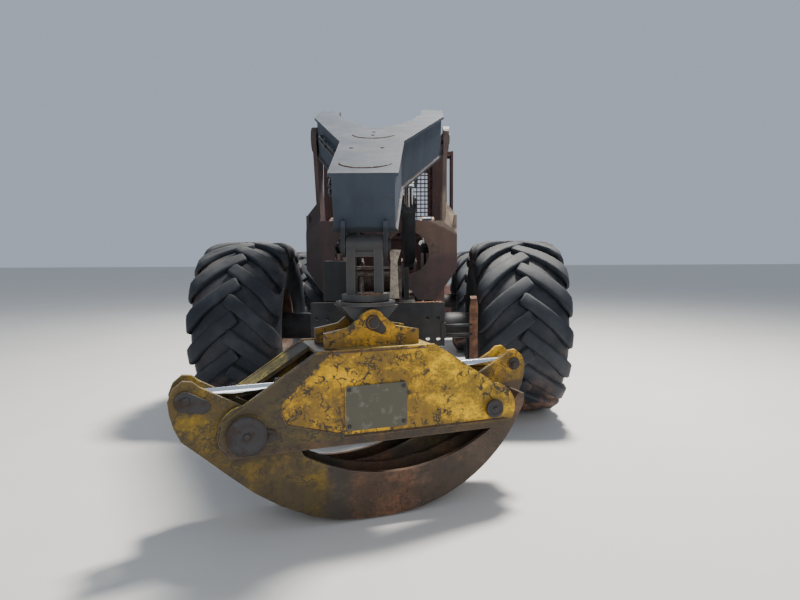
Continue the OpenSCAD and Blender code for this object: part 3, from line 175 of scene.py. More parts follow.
class Graph(Nodes):
    """Builds one material's nodes."""

    def __init__(self, name: str) -> None:
        """Starts an empty material.

        Args:
            name: the material's name.
        """
        self.material = bpy.data.materials.new(name)
        self.material.use_nodes = True
        self.tree = self.material.node_tree
        self.tree.nodes.clear()
        coords = self.node("ShaderNodeTexCoord")
        self.place = coords.outputs["Object"]
        self.normal = coords.outputs["Normal"]

    def math(self, operation: str, first: Number, second: Number) -> Value:
        """Adds one Math node and returns its result."""
        node = self.node("ShaderNodeMath", {"operation": operation}, {0: first, 1: second})
        return Value(self, node.outputs[0])

    def vector(self, operation: str, *inputs: Paintable) -> bpy.types.Node:
        """Adds one Vector Math node."""
        return self.node("ShaderNodeVectorMath", {"operation": operation}, dict(enumerate(inputs)))

    def dot(self, first: Socket, second: Paintable) -> Value:
        """Dot product of two vectors."""
        return Value(self, self.vector("DOT_PRODUCT", first, second).outputs["Value"])

    def noise(self, scale: float, detail: float = 4.0, stretch: Point = (1, 1, 1),
              turn: Point = ORIGIN, rough: float = 0.55) -> Value:
        """Adds noise on the object's own coordinates.

        Args:
            scale: features per metre.
            detail: octaves.
            stretch: scale along each axis.
            turn: turn of the pattern in radians.
            rough: strength of the finer octaves.

        Returns:
            The noise as a number about 0.5.
        """
        spot = self.node("ShaderNodeMapping", None,
                         {"Vector": self.place, "Scale": stretch, "Rotation": turn})
        node = self.node("ShaderNodeTexNoise", None, {"Vector": spot.outputs[0], "Scale": scale,
                                                      "Detail": detail, "Roughness": rough})
        return Value(self, node.outputs[0])

    def bands(self, direction: Axis, scale: float, wobble: float = 0.0) -> Value:
        """Adds soft ridges one behind the other.

        Args:
            direction: the axis along which they follow each other.
            scale: how close they stand.
            wobble: how far they leave their line.

        Returns:
            The ridges' height.
        """
        node = self.node("ShaderNodeTexWave",
                         {"wave_type": "BANDS", "bands_direction": direction.name},
                         {"Vector": self.place, "Scale": scale, "Distortion": wobble})
        return Value(self, node.outputs["Fac"])

    def along(self, direction: Point) -> Value:
        """Distance along a direction from the origin, in metres."""
        return self.dot(self.place, direction)

    def facing(self, direction: Point) -> Value:
        """How much the surface faces a direction, from -1 to 1."""
        return self.dot(self.normal, direction)

    def distance(self, centre: Point, stretch: Point) -> Value:
        """Distance from a centre.

        Args:
            centre: the centre.
            stretch: scale of each axis, 0 for one that doesn't count.

        Returns:
            The distance.
        """
        away = self.vector("SUBTRACT", self.place, centre)
        scaled = self.vector("MULTIPLY", away.outputs[0], stretch)
        return Value(self, self.vector("LENGTH", scaled.outputs[0]).outputs["Value"])

    def cracks(self, scale: float, warp: float, width: float) -> Value:
        """Mask of thin wandering lines, such as cracks and scratches in paint.

        Args:
            scale: cells per metre.
            warp: how far the lines wander, in metres.
            width: share of a cell that a line takes.

        Returns:
            The mask.
        """
        wander = self.node("ShaderNodeTexNoise", None, {"Vector": self.place, "Scale": scale * 0.9})
        centred = self.vector("SUBTRACT", wander.outputs["Color"], (0.5, 0.5, 0.5))
        moved = self.vector("MULTIPLY_ADD", centred.outputs[0], (warp, warp, warp), self.place)
        cells = self.node("ShaderNodeTexVoronoi", {"feature": "DISTANCE_TO_EDGE"},
                          {"Vector": moved.outputs[0], "Scale": scale})
        return 1.0 - Value(self, cells.outputs["Distance"]).step(width * 0.4, width)

    def edges(self, radius: float) -> Value:
        """Mask of the edges, larger where the surface turns more.

        Args:
            radius: how far from an edge the mask reaches, in metres.

        Returns:
            The mask.
        """
        geometry = self.node("ShaderNodeNewGeometry")
        bevel = self.node("ShaderNodeBevel", {"samples": 4}, {"Radius": radius})
        return 1.0 - self.dot(geometry.outputs["Normal"], bevel.outputs[0])

    def mix(self, factor: Number, first: Paintable, second: Paintable) -> Socket:
        """Mixes two colours by a factor."""
        node = self.node("ShaderNodeMix", {"data_type": "RGBA"},
                         {"Factor_Float": factor, "A_Color": first, "B_Color": second})
        return next(s for s in node.outputs if s.identifier == "Result_Color")

    def finish(self, colour: Paintable, roughness: Number, metallic: Number = 0.0,
               height: Value | None = None, depth: float = 0.002,
               fixed: dict | None = None) -> Material:
        """Adds the shader and the output.

        Args:
            colour: base colour.
            roughness: roughness.
            metallic: metallic share.
            height: height of the relief, from 0 to 1.
            depth: depth of the relief in metres.
            fixed: other sockets of the shader with their constants.

        Returns:
            The material.
        """
        inputs = {"Base Color": colour, "Roughness": roughness, "Metallic": metallic}
        if height is not None:
            bump = self.node("ShaderNodeBump", None, {"Height": height, "Distance": depth})
            inputs["Normal"] = bump.outputs[0]
        inputs.update(fixed or {})
        shader = self.node("ShaderNodeBsdfPrincipled", None, inputs)
        self.node("ShaderNodeOutputMaterial", None, {"Surface": shader.outputs[0]})
        return self.material


# Finishes


@dataclass(frozen=True)
class Plane:
    """Half of space: where a point's distance along a direction is past the start."""

    direction: Point
    start: float


@dataclass(frozen=True)
class Face:
    """A vertical plane in which a tint's outline is drawn as [along, height]."""

    along: Point = (1.0, 0.0, 0.0)
    shift: float = 0.0

    def fence(self, *corners: Flat) -> tuple[Plane, ...]:
        """Half spaces to the left of each stretch of an open outline.

        Args:
            corners: the outline's corners in order.

        Returns:
            One plane for each stretch.
        """
        planes = []
        for (u0, z0), (u1, z1) in zip(corners, corners[1:]):
            run = math.hypot(u1 - u0, z1 - z0)
            nu, nz = (z0 - z1) / run, (u1 - u0) / run
            planes.append(Plane((nu * self.along[0], nu * self.along[1], nz),
                                nu * (u0 + self.shift) + nz * z0))
        return tuple(planes)


@dataclass(frozen=True)
class Stain:
    """A part of a finish with another colour, inside all of its planes: used for stains and paint zones,
    and on the head and the arch also for painted light and shade.

    With up above 0 it keeps to faces that look up.
    """

    planes: tuple[Plane, ...]
    colour: Colour
    strength: float = 1.0
    soft: float = 0.012
    ragged: float = 0.02
    up: float = 0.0

    def mask(self, graph: Graph, rough: Value) -> Value:
        """Mask of the tint, its border broken up by noise.

        Args:
            graph: the material's graph.
            rough: the noise.

        Returns:
            The mask.
        """
        mask: Number = self.strength
        for plane in self.planes:
            reach = graph.along(plane.direction) - plane.start + (rough - 0.5) * (self.ragged * 2.0)
            mask = reach.step(-self.soft, self.soft) * mask
        if self.up:
            mask = (graph.facing(UP) * self.up).step(0.25, 0.7) * mask
        return mask


@dataclass(frozen=True)
class Paint:
    """Worn machine paint over steel, with tinted zones (stains, and on the head and the arch painted
    light and shade), grime, cracks, rust, rubbed edges and dust.
    """

    name: str
    colour: Colour
    shade: Colour
    rust: Colour = (0.105, 0.046, 0.026)
    steel: Colour = (0.16, 0.12, 0.10)
    dust: Colour = (0.36, 0.29, 0.22)
    grime: Colour = (0.030, 0.024, 0.018)
    rust_share: float = 0.40
    grime_share: float = 0.0
    cracked: float = 0.0
    edge: float = 0.8
    edge_size: float = 0.010
    dust_share: float = 0.35
    roughness: float = 0.55
    gloss: float = 0.45
    tints: tuple[Stain, ...] = ()

    def grimy(self, g: Graph, colour: Socket, broad: Value, grain: Value) -> Socket:
        """The colour under patches and specks of grime.

        Args:
            g: the material's graph.
            colour: the colour so far.
            broad: broad noise.
            grain: fine noise.

        Returns:
            The colour.
        """
        patches = g.noise(3.3, 9.0, (1, 1, 1.6), (0.4, 0.2, 0.7), 0.72)
        full = 0.78 - self.grime_share * 0.3
        mask = (patches * 0.75 + grain * 0.25).step(full - 0.16, full)
        colour = g.mix(mask * 0.75, colour, self.grime)
        specks = g.noise(75.0, 3.0, rough=0.8).step(0.64, 0.69) * broad.step(0.4, 0.6)
        return g.mix(specks * self.grime_share, colour, self.grime)

    def scratches(self, g: Graph, broad: Value) -> Value:
        """Mask of the cracks, smears and scrapes.

        Args:
            g: the material's graph.
            broad: broad noise, which keeps the smears to some places.

        Returns:
            The mask.
        """
        where = g.noise(2.4, 4.0, turn=(1.2, 0.3, 0.5)).step(0.44, 0.54)
        broken = g.noise(17.0, 4.0, turn=(0.5, 1.1, 0.2)).step(0.46, 0.52)
        lines = g.cracks(9.0, 0.22, 0.075) * where * broken
        fine = g.cracks(24.0, 0.09, 0.12) * g.noise(4.1, 3.0).step(0.47, 0.55) * broken
        smear = g.noise(4.0, 4.0, (3.0, 3.0, 26.0), (0.15, 0.35, 0.0), 0.7).step(0.59, 0.66)
        scrape = g.noise(5.0, 4.0, (5.0, 5.0, 22.0), (0.2, -0.75, 0.0), 0.7).step(0.60, 0.66)
        marks = lines.larger(fine).larger(smear * broad.step(0.45, 0.6) * 0.8)
        return marks.larger(scrape * broken * 0.8) * self.cracked

    def build(self) -> Material:
        """Builds the material.

        Returns:
            The material.
        """
        g = Graph(self.name)
        broad = g.noise(1.1, 5.0)
        blotch = g.noise(5.5, 8.0, rough=0.65)
        grain = g.noise(55.0, 6.0, rough=0.7)
        streak = g.noise(9.0, 5.0, (1, 1, 0.14))
        shaded = (broad * 0.6 + streak * 0.55 - 0.1).step(0.35, 0.62)
        colour = g.mix(shaded, self.colour, self.shade)
        # Tinted zones: stains and paint zones, and on the head and the arch painted light and shade.
        for stain in self.tints:
            darker = tuple(c * 0.72 for c in stain.colour)
            tone = g.mix(streak.step(0.35, 0.65), stain.colour, darker)
            colour = g.mix(stain.mask(g, blotch), colour, tone)
        if self.grime_share:
            colour = self.grimy(g, colour, broad, grain)
        limit = 1.0 - self.rust_share * 0.72
        pitted = blotch * 0.62 + grain * 0.3 + broad * 0.22 - 0.07
        corrosion = pitted.step(limit - 0.10, limit + 0.02)
        tone = g.mix(grain, self.rust, tuple(min(1.0, c * 2.1) for c in self.rust))
        colour = g.mix(corrosion * 0.85, colour, tone)
        height = corrosion * 0.5 + grain * 0.35 + blotch * 0.3
        if self.cracked:
            marks = self.scratches(g, broad)
            colour = g.mix(marks, colour, self.grime)
            height = height - marks * 0.5
        metal = g.edges(self.edge_size).step(0.03, 0.4) * (blotch + 0.25).step(0.45, 0.75) * self.edge
        colour = g.mix(metal, colour, self.steel)
        low = (1.0 - g.along(UP).step(0.3, 1.7)) * 0.5
        upward = g.facing(UP).step(0.35, 0.95)
        dusty = (upward * 0.7 + low + 0.12) * blotch.step(0.36, 0.66) * self.dust_share
        colour = g.mix(dusty, colour, self.dust)
        rough = self.roughness + corrosion * 0.25 + dusty * 0.3 - metal * 0.15
        return g.finish(colour, rough, metal * 0.7, height, 0.0022,
                        {"Specular IOR Level": self.gloss})


@dataclass(frozen=True)
class Rubber:
    """Blue-black tyre rubber, dusty on its upper faces, with mud low down and between the lugs."""

    name: str
    centre: Point
    radius: float
    colour: Colour = (0.0100, 0.0140, 0.0215)
    scuff: Colour = (0.028, 0.034, 0.044)
    dust: Colour = (0.084, 0.079, 0.068)
    mud: Colour = (0.29, 0.135, 0.068)

    def build(self) -> Material:
        """Builds the material.

        Returns:
            The material.
        """
        g = Graph(self.name)
        reach = g.distance(self.centre, (0, 1, 1)) / self.radius
        blotch = g.noise(4.0, 7.0, rough=0.62)
        grain = g.noise(46.0, 6.0, rough=0.7)
        colour = g.mix(blotch.step(0.42, 0.7), self.colour, self.scuff)
        upper = g.facing((0, 0.25, 0.97)).step(0.1, 0.95) * (blotch + 0.1).step(0.4, 0.7)
        colour = g.mix(upper * 0.55, colour, self.dust)
        groove = (1.0 - reach.step(0.88, 0.955)) * reach.step(0.72, 0.86)
        low = 1.0 - g.along(UP).step(0.12, 0.62)
        mud = (groove * 0.16 + low * 0.85) * (blotch * 0.75 + grain * 0.4).step(0.52, 0.70)
        colour = g.mix(mud * 0.8, colour, self.mud)
        height = grain * 0.5 + blotch * 0.4 + mud * 0.5
        rough = 0.62 + mud * 0.25 + upper * 0.2
        return g.finish(colour, rough, 0.0, height, 0.003, {"Specular IOR Level": 0.4})


@dataclass(frozen=True)
class Metal:
    """Bright or dull bare metal with stains, or plain bark where it has no metallic share."""

    name: str
    colour: Colour
    stain: Colour
    roughness: float
    stain_share: float
    metallic: float = 1.0

    def build(self) -> Material:
        """Builds the material.

        Returns:
            The material.
        """
        g = Graph(self.name)
        blotch = g.noise(14.0, 7.0, rough=0.65)
        fine = g.noise(120.0, 3.0)
        share = self.stain_share * 0.5
        mask = blotch.step(0.72 - share, 0.86 - share)
        colour = g.mix(mask * 0.9, self.colour, self.stain)
        rough = self.roughness + mask * 0.4 + fine * 0.06
        metallic = self.metallic - mask * 0.6 * self.metallic
        return g.finish(colour, rough, metallic, blotch * 0.5 + fine * 0.3, 0.0006)


@dataclass(frozen=True)
class Plastic:
    """Dull moulded plastic or hose rubber."""

    name: str
    colour: Colour
    roughness: float = 0.6
    dust_share: float = 0.6
    dust: Colour = (0.17, 0.135, 0.10)

    def build(self) -> Material:
        """Builds the material.

        Returns:
            The material.
        """
        g = Graph(self.name)
        grain = g.noise(220.0, 3.0)
        blotch = g.noise(6.0, 6.0, rough=0.6)
        colour = g.mix(blotch.step(0.5, 0.75) * self.dust_share, self.colour, self.dust)
        height = grain * 0.6 + blotch * 0.4
        return g.finish(colour, self.roughness + blotch * 0.2, 0.0, height, 0.0008)


@dataclass(frozen=True)
class Weave:
    """Woven seat cloth, worn paler in places."""

    name: str
    colour: Colour
    worn: Colour = (0.10, 0.085, 0.07)
    pitch: float = 420.0

    def build(self) -> Material:
        """Builds the material.

        Returns:
            The material.
        """
        g = Graph(self.name)
        x, y, z = (g.bands(axis, self.pitch, 0.6) for axis in Axis)
        weave = x * y + y * z + z * x
        wear = g.noise(7.0, 6.0)
        colour = g.mix(weave * 0.5, self.colour, tuple(c * 2.4 for c in self.colour))
        colour = g.mix(wear.step(0.5, 0.75) * 0.5, colour, self.worn)
        return g.finish(colour, 0.9, 0.0, weave * 0.6 + wear * 0.3, 0.0012, {"Sheen Weight": 0.25})


@dataclass(frozen=True)
class Lens:
    """Ribbed clear lens of a lamp."""

    name: str
    colour: Colour = (0.72, 0.75, 0.76)
    smudge: Colour = (0.42, 0.37, 0.30)

    def build(self) -> Material:
        """Builds the material.

        Returns:
            The material.
        """
        g = Graph(self.name)
        smudge = g.noise(18.0, 5.0)
        colour = g.mix(smudge.step(0.45, 0.7) * 0.6, self.colour, self.smudge)
        return g.finish(colour, 0.12 + smudge * 0.25, 0.35, g.bands(Axis.X, 45.0), 0.002,
                        {"Coat Weight": 0.8})


# Mesh helpers


class Solid:
    """Small library of closed mesh pieces, all with their place in the mesh."""

    @staticmethod
    def shown(name: str, data: bpy.types.ID) -> Thing:
        """Makes an object and puts it into the scene.

        Args:
            name: its name.
            data: its mesh, light or camera.

        Returns:
            The object.
        """
        thing = bpy.data.objects.new(name, data)
        bpy.context.scene.collection.objects.link(thing)
        return thing

    @staticmethod
    def shade(mesh: bpy.types.Mesh, smooth: bool = True) -> None:
        """Shades all faces smooth, or all flat."""
        for polygon in mesh.polygons:
            polygon.use_smooth = smooth

    @staticmethod
    def from_work(name: str, work: bmesh.types.BMesh) -> Thing:
        """Makes an object of an editing mesh, and frees that.

        Args:
            name: the piece's name.
            work: the editing mesh.

        Returns:
            The piece.
        """
        mesh = bpy.data.meshes.new(name)
        work.to_mesh(mesh)
        work.free()
        return Solid.shown(name, mesh)

    @staticmethod
    def from_data(name: str, verts: Iterable[Sequence[float]], faces: Iterable[Sequence[int]],
                  smooth: bool = False) -> Thing:
        """Makes an object of corners and faces, its normals outwards.

        Args:
            name: the piece's name.
            verts: its corners.
            faces: each face as its corners' numbers.
            smooth: whether it is shaded smooth.

        Returns:
            The piece.
        """
        mesh = bpy.data.meshes.new(name)
        mesh.from_pydata([tuple(v) for v in verts], [], [tuple(f) for f in faces])
        work = bmesh.new()
        work.from_mesh(mesh)
        bmesh.ops.remove_doubles(work, verts=work.verts, dist=MERGE_DISTANCE)
        bmesh.ops.recalc_face_normals(work, faces=work.faces)
        work.to_mesh(mesh)
        work.free()
        Solid.shade(mesh, smooth)
        return Solid.shown(name, mesh)

    @staticmethod
    def rectangle(low: Sequence[float], high: Sequence[float]) -> list[Flat]:
        """Outline of a rectangle between two corners."""
        return [(low[0], low[1]), (high[0], low[1]), (high[0], high[1]), (low[0], high[1])]

    @staticmethod
    def plate(name: str, outline: Sequence[Flat], axis: Axis, low: float, high: float,
              bevel: float = 0.0) -> Thing:
        """Plate of an outline, drawn in the two other axes in X, Y, Z order.

        Args:
            name: the piece's name.
            outline: its corners.
            axis: direction of the thickness.
            low: lower face along the axis.
            high: upper face along the axis.
            bevel: width of the rounded edges.

        Returns:
            The piece.
        """
        count = len(outline)
        verts = [axis.spot(pair, level) for level in (low, high) for pair in outline]
        faces = [list(range(count)), list(range(count, 2 * count))]
        faces += [[i, (i + 1) % count, count + (i + 1) % count, count + i] for i in range(count)]
        piece = Solid.from_data(name, verts, faces)
        return Solid.rounded(piece, bevel) if bevel else piece

    @staticmethod
    def box(name: str, low: Point, high: Point, bevel: float) -> Thing:
        """Box between two corners, its edges rounded."""
        return Solid.plate(name, Solid.rectangle(low, high), Axis.Z, low[2], high[2], bevel)

    @staticmethod
    def border(name: str, axis: Axis, low: Point, high: Point, width: float, bevel: float) -> Thing:
        """Rectangular frame of four bars.

        Args:
            name: the piece's name.
            axis: direction in which its opening looks.
            low: lowest corner.
            high: highest corner.
            width: width of a bar.
            bevel: width of the rounded edges.

        Returns:
            The piece.
        """
        first, second = axis.others()
        bars = []
        for run, side in ((first, second), (second, first)):
            for end in (0, 1):
                start, stop = list(low), list(high)
                if end:
                    start[side] = high[side] - width
                else:
                    stop[side] = low[side] + width
                if run == second:
                    start[run], stop[run] = low[run] + width, high[run] - width
                bars.append(Solid.box("bar", tuple(start), tuple(stop), bevel))
        return Solid.joined(name, bars)

    @staticmethod
    def rounded(piece: Thing, width: float) -> Thing:
        """Rounds the sharp edges of a piece.

        Args:
            piece: the piece.
            width: width of the rounded edges.

        Returns:
            The piece anew.
        """
        bevel = piece.modifiers.new("round", "BEVEL")
        bevel.width = width
        bevel.segments = 2
        bevel.limit_method = "ANGLE"
        bevel.harden_normals = False
        return Solid.settled(piece)

    @staticmethod
    def settled(piece: Thing) -> Thing:
        """Makes a piece a plain mesh, its modifiers applied.

        Args:
            piece: the piece, which is removed.

        Returns:
            The piece anew, under its old name.
        """
        graph = bpy.context.evaluated_depsgraph_get()
        mesh = bpy.data.meshes.new_from_object(piece.evaluated_get(graph))
        name = piece.name
        bpy.data.objects.remove(piece)
        mesh.name = name
        return Solid.shown(name, mesh)

    @staticmethod
    def moved(piece: Thing, place: Point, angle: float, about: Axis = Axis.X) -> Thing:
        """The piece with its mesh turned about an axis through the origin, and then moved."""
        piece.data.transform(Matrix.Translation(place) @ Matrix.Rotation(angle, 4, about.name))
        return piece

    @staticmethod
    def lathe(name: str, profile: Sequence[Flat], centre: Point, axis: Axis, steps: int,
              closed: bool = False) -> Thing:
        """Turned part.

        Args:
            name: the piece's name.
            profile: [along, radius] points.
            centre: the origin of the profile.
            axis: the axis it is turned about.
            steps: sides.
            closed: whether the profile is a ring that returns to its start.

        Returns:
            The piece.
        """
        first, second = axis.others()
        verts, faces, count = [], [], len(profile)
        for step in range(steps):
            angle = 2 * math.pi * step / steps
            for along, radius in profile:
                spot = [0.0, 0.0, 0.0]
                spot[axis.value] = centre[axis.value] + along
                spot[first] = centre[first] + radius * math.cos(angle)
                spot[second] = centre[second] + radius * math.sin(angle)
                verts.append(spot)
        for step in range(steps):
            after = (step + 1) % steps
            for i in range(count if closed else count - 1):
                j = (i + 1) % count
                faces.append([step * count + i, step * count + j, after * count + j, after * count + i])
        return Solid.from_data(name, verts, faces, True)

    @staticmethod
    def tube(name: str, path: Sequence[Point], radius: float, sides: int = 12) -> Thing:
        """Round bar or hose along a path, its ends closed.

        Args:
            name: the piece's name.
            path: points of its middle line.
            radius: its radius.
            sides: sides of its section.

        Returns:
            The piece.
        """
        points = [Vector(p) for p in path]
        last = len(points) - 1
        verts, faces = [], []
        side = None
        for i, spot in enumerate(points):
            ahead = (points[min(i + 1, last)] - points[max(i - 1, 0)]).normalized()
            if side is None:
                side = ahead.orthogonal().normalized()
            side = (side - ahead * side.dot(ahead)).normalized()
            across = ahead.cross(side)
            for k in range(sides):
                angle = 2 * math.pi * k / sides
                verts.append(spot + side * radius * math.cos(angle) + across * radius * math.sin(angle))
        for i in range(last):
            for k in range(sides):
                here, after = i * sides + k, i * sides + (k + 1) % sides
                faces.append([here, after, after + sides, here + sides])
        faces.append(list(range(sides)))
        faces.append([last * sides + k for k in range(sides)])
        return Solid.from_data(name, verts, faces, True)

    @staticmethod
    def joined(name: str, pieces: Sequence[Thing]) -> Thing:
        """Makes one piece of several.

        Args:
            name: its name.
            pieces: the pieces, which are removed.

        Returns:
            The piece.
        """
        work = bmesh.new()
        for piece in pieces:
            work.from_mesh(piece.data)
            bpy.data.objects.remove(piece)
        return Solid.from_work(name, work)

    @staticmethod
    def curve(points: Sequence[Point], steps: int) -> list[Point]:
        """Smooth path through points.

        Args:
            points: the points.
            steps: steps between two of them.

        Returns:
            The path.
        """
        knots = [Vector(p) for p in points]
        knots = [knots[0]] + knots + [knots[-1]]
        path = []
        for i in range(1, len(knots) - 2):
            a, b, c, d = knots[i - 1:i + 3]
            for k in range(steps):
                t = k / steps
                path.append(0.5 * (2 * b + (c - a) * t + (2 * a - 5 * b + 4 * c - d) * t * t
                                   + (3 * b - a - 3 * c + d) * t ** 3))
        return [tuple(p) for p in path] + [tuple(knots[-1])]


class Repeat(Nodes):
    """Geometry Nodes trees that repeat a part round an axle, in a row, over a face or on paths."""

    def __init__(self, part: Thing, finish: Material, sizes: dict[str, object]) -> None:
        """Starts a tree with named inputs.

        Args:
            part: the small part, which is removed after the run.
            finish: the material of the result.
            sizes: the other inputs, each a whole number, a number or a vector.
        """
        kinds = {int: "Int", float: "Float", tuple: "Vector"}
        inputs = [("Part", "Object", part), ("Finish", "Material", finish)]
        inputs += [(name, kinds[type(item)], item) for name, item in sizes.items()]
        self.part = part
        self.tree = bpy.data.node_groups.new("repeat", "GeometryNodeTree")
        self.values = {}
        face = self.tree.interface
        face.new_socket(name="Geometry", in_out="INPUT", socket_type="NodeSocketGeometry")
        for name, kind, item in inputs:
            socket = face.new_socket(name=name, in_out="INPUT", socket_type="NodeSocket" + kind)
            self.values[socket.identifier] = item
        face.new_socket(name="Geometry", in_out="OUTPUT", socket_type="NodeSocketGeometry")
        self.given = self.node("NodeGroupInput").outputs

    def line(self, start: Socket, step: Socket | Point) -> Socket:
        """Points in a row, as many as the input Count says."""
        line = self.node("GeometryNodeMeshLine", None, {
            "Count": self.given["Count"], "Start Location": start, "Offset": step})
        return line.outputs[0]

    def random(self, low: float | Point, high: float | Point) -> Socket:
        """A seeded random number or vector for each point.

        Args:
            low: its lowest value.
            high: its highest value.

        Returns:
            The socket with it.
        """
        kind, first = ("FLOAT_VECTOR", 0) if isinstance(low, tuple) else ("FLOAT", 1)
        node = self.node("FunctionNodeRandomValue", {"data_type": kind},
                         {2 * first: low, 2 * first + 1: high, "Seed": self.given["Seed"]})
        return node.outputs[first]

    def fill(self, points: Socket, ways: dict[str, Socket], keep: bool = False) -> None:
        """Puts the part on every point, and ends in Realize Instances and Set Material.

        Args:
            points: the points.
            ways: each copy's Rotation or Scale.
            keep: whether the host's own mesh stays in the result.
        """
        info = self.node("GeometryNodeObjectInfo", None, {"Object": self.given["Part"]})
        copies = self.node("GeometryNodeInstanceOnPoints", None, {
            "Points": points, "Instance": info.outputs["Geometry"], **ways})
        real = self.node("GeometryNodeRealizeInstances", None, {0: copies.outputs[0]})
        result = real.outputs[0]
        if keep:
            join = self.node("GeometryNodeJoinGeometry", None, {0: self.given["Geometry"]})
            self.tree.links.new(result, join.inputs[0])
            result = join.outputs[0]
        dressed = self.node("GeometryNodeSetMaterial", None,
                            {"Geometry": result, "Material": self.given["Finish"]})
        self.node("NodeGroupOutput", None, {0: dressed.outputs[0]})

    def run(self, host: Thing, name: str) -> Thing:
        """Runs the tree on a host and removes the small part.

        Args:
            host: the object that carries the tree, which is removed.
            name: the result's name.

        Returns:
            The piece as a plain mesh.
        """
        modifier = host.modifiers.new("repeat", "NODES")
        modifier.node_group = self.tree
        for identifier, item in self.values.items():
            modifier[identifier] = item
        host.name = name
        piece = Solid.settled(host)
        bpy.data.objects.remove(self.part)
        return piece

    @staticmethod
    def round_axle(name: str, host: Thing, part: Thing, count: int, centre: Point,
                   finish: Material, keep: bool = False, phase: float = 0.0) -> Thing:
        """Repeats a part round an axle along X.

        Args:
            name: the piece's name.
            host: the object that carries the tree.
            part: the small part, drawn above the axle's centre.
            count: how many.
            centre: the axle's centre.
            finish: the material.
            keep: whether the host's own mesh stays in the result.
            phase: turn of the first one in radians.

        Returns:
            The piece.
        """
        tree = Repeat(part, finish, {"Count": count, "Phase": phase, "Centre": centre})
        given = tree.given
        index = tree.node("GeometryNodeInputIndex")
        share = tree.node("ShaderNodeMath", {"operation": "DIVIDE"},
                          {0: index.outputs[0], 1: given["Count"]})
        angle = tree.node("ShaderNodeMath", {"operation": "MULTIPLY_ADD"},
                          {0: share.outputs[0], 1: 2 * math.pi, 2: given["Phase"]})
        turn = tree.node("ShaderNodeCombineXYZ", None, {"X": angle.outputs[0]})
        tree.fill(tree.line(given["Centre"], ORIGIN), {"Rotation": turn.outputs[0]}, keep)
        return tree.run(host, name)

    @staticmethod
    def row(name: str, part: Thing, count: int, start: Point, step: Point,
            finish: Material) -> Thing:
        """Repeats a part along a straight row.

        Args:
            name: the piece's name.
            part: the small part, drawn round the origin.
            count: how many.
            start: place of the first one.
            step: from one to the next.
            finish: the material.

        Returns:
            The piece.
        """
        tree = Repeat(part, finish, {"Count": count, "Start": start, "Step": step})
        tree.fill(tree.line(tree.given["Start"], tree.given["Step"]), {})
        return tree.run(Solid.from_data("row_host", [ORIGIN], []), name)

    @staticmethod
    def scatter(name: str, low: Point, high: Point, density: float, seed: int,
                finish: Material) -> Thing:
        """Scatters chips of bark over a level rectangle with a fixed seed.

        Args:
            name: the piece's name.
            low: a corner of the rectangle.
            high: the opposite corner at the same height.
            density: chips per square metre.
            seed: the seed.
            finish: the chips' material.

        Returns:
            The piece.
        """
        corners = [(-0.020, -0.006, 0.0), (0.020, -0.009, 0.001), (0.024, 0.006, 0.0),
                   (-0.014, 0.009, 0.001), (-0.012, -0.002, 0.007), (0.013, 0.001, 0.006)]
        chip = Solid.from_data("chip", corners,
                               [(0, 1, 5, 4), (1, 2, 5), (2, 3, 4, 5), (3, 0, 4), (0, 3, 2, 1)])
        level = [(x, y, low[2]) for x, y in Solid.rectangle(low, high)]
        host = Solid.from_data("scatter_host", level, [(0, 1, 2, 3)])
        tree = Repeat(chip, finish, {"Density": density, "Seed": seed})
        given = tree.given
        spots = tree.node("GeometryNodeDistributePointsOnFaces", None, {
            "Mesh": given["Geometry"], "Density": given["Density"], "Seed": given["Seed"]})
        turn = tree.random((-0.25, -0.25, 0.0), (0.25, 0.25, 6.28))
        tree.fill(spots.outputs[0], {"Rotation": turn, "Scale": tree.random(0.45, 1.7)})
        return tree.run(host, name)

    @staticmethod
    def beads(name: str, paths: Sequence[Sequence[Point]], radius: float,
              finish: Material) -> Thing:
        """Weld beads: small overlapping ripples along paths, with a fixed seed for their size.

        Args:
            name: the piece's name.
            paths: the seams.
            radius: a ripple's radius.
            finish: the material.

        Returns:
            The piece.
        """
        mesh = bpy.data.meshes.new(name)
        verts, links = [], []
        for path in paths:
            links += [(len(verts) + i, len(verts) + i + 1) for i in range(len(path) - 1)]
            verts += list(path)
        mesh.from_pydata(verts, links, [])
        host = Solid.shown("beads_host", mesh)
        work = bmesh.new()
        bmesh.ops.create_icosphere(work, subdivisions=1, radius=1.0)
        ripple = Solid.from_work("ripple", work)
        Solid.shade(ripple.data)
        tree = Repeat(ripple, finish, {"Radius": radius, "Spacing": radius * 1.1, "Seed": 7})
        curve = tree.node("GeometryNodeMeshToCurve", None, {0: tree.given["Geometry"]})
        even = tree.node("GeometryNodeResampleCurve", {"mode": "LENGTH"},
                         {"Curve": curve.outputs[0], "Length": tree.given["Spacing"]})
        scale = tree.node("ShaderNodeMath", {"operation": "MULTIPLY"},
                          {0: tree.random(0.8, 1.15), 1: tree.given["Radius"]})
        tree.fill(even.outputs[0], {"Scale": scale.outputs[0]})
        return tree.run(host, name)


# Sub-assemblies


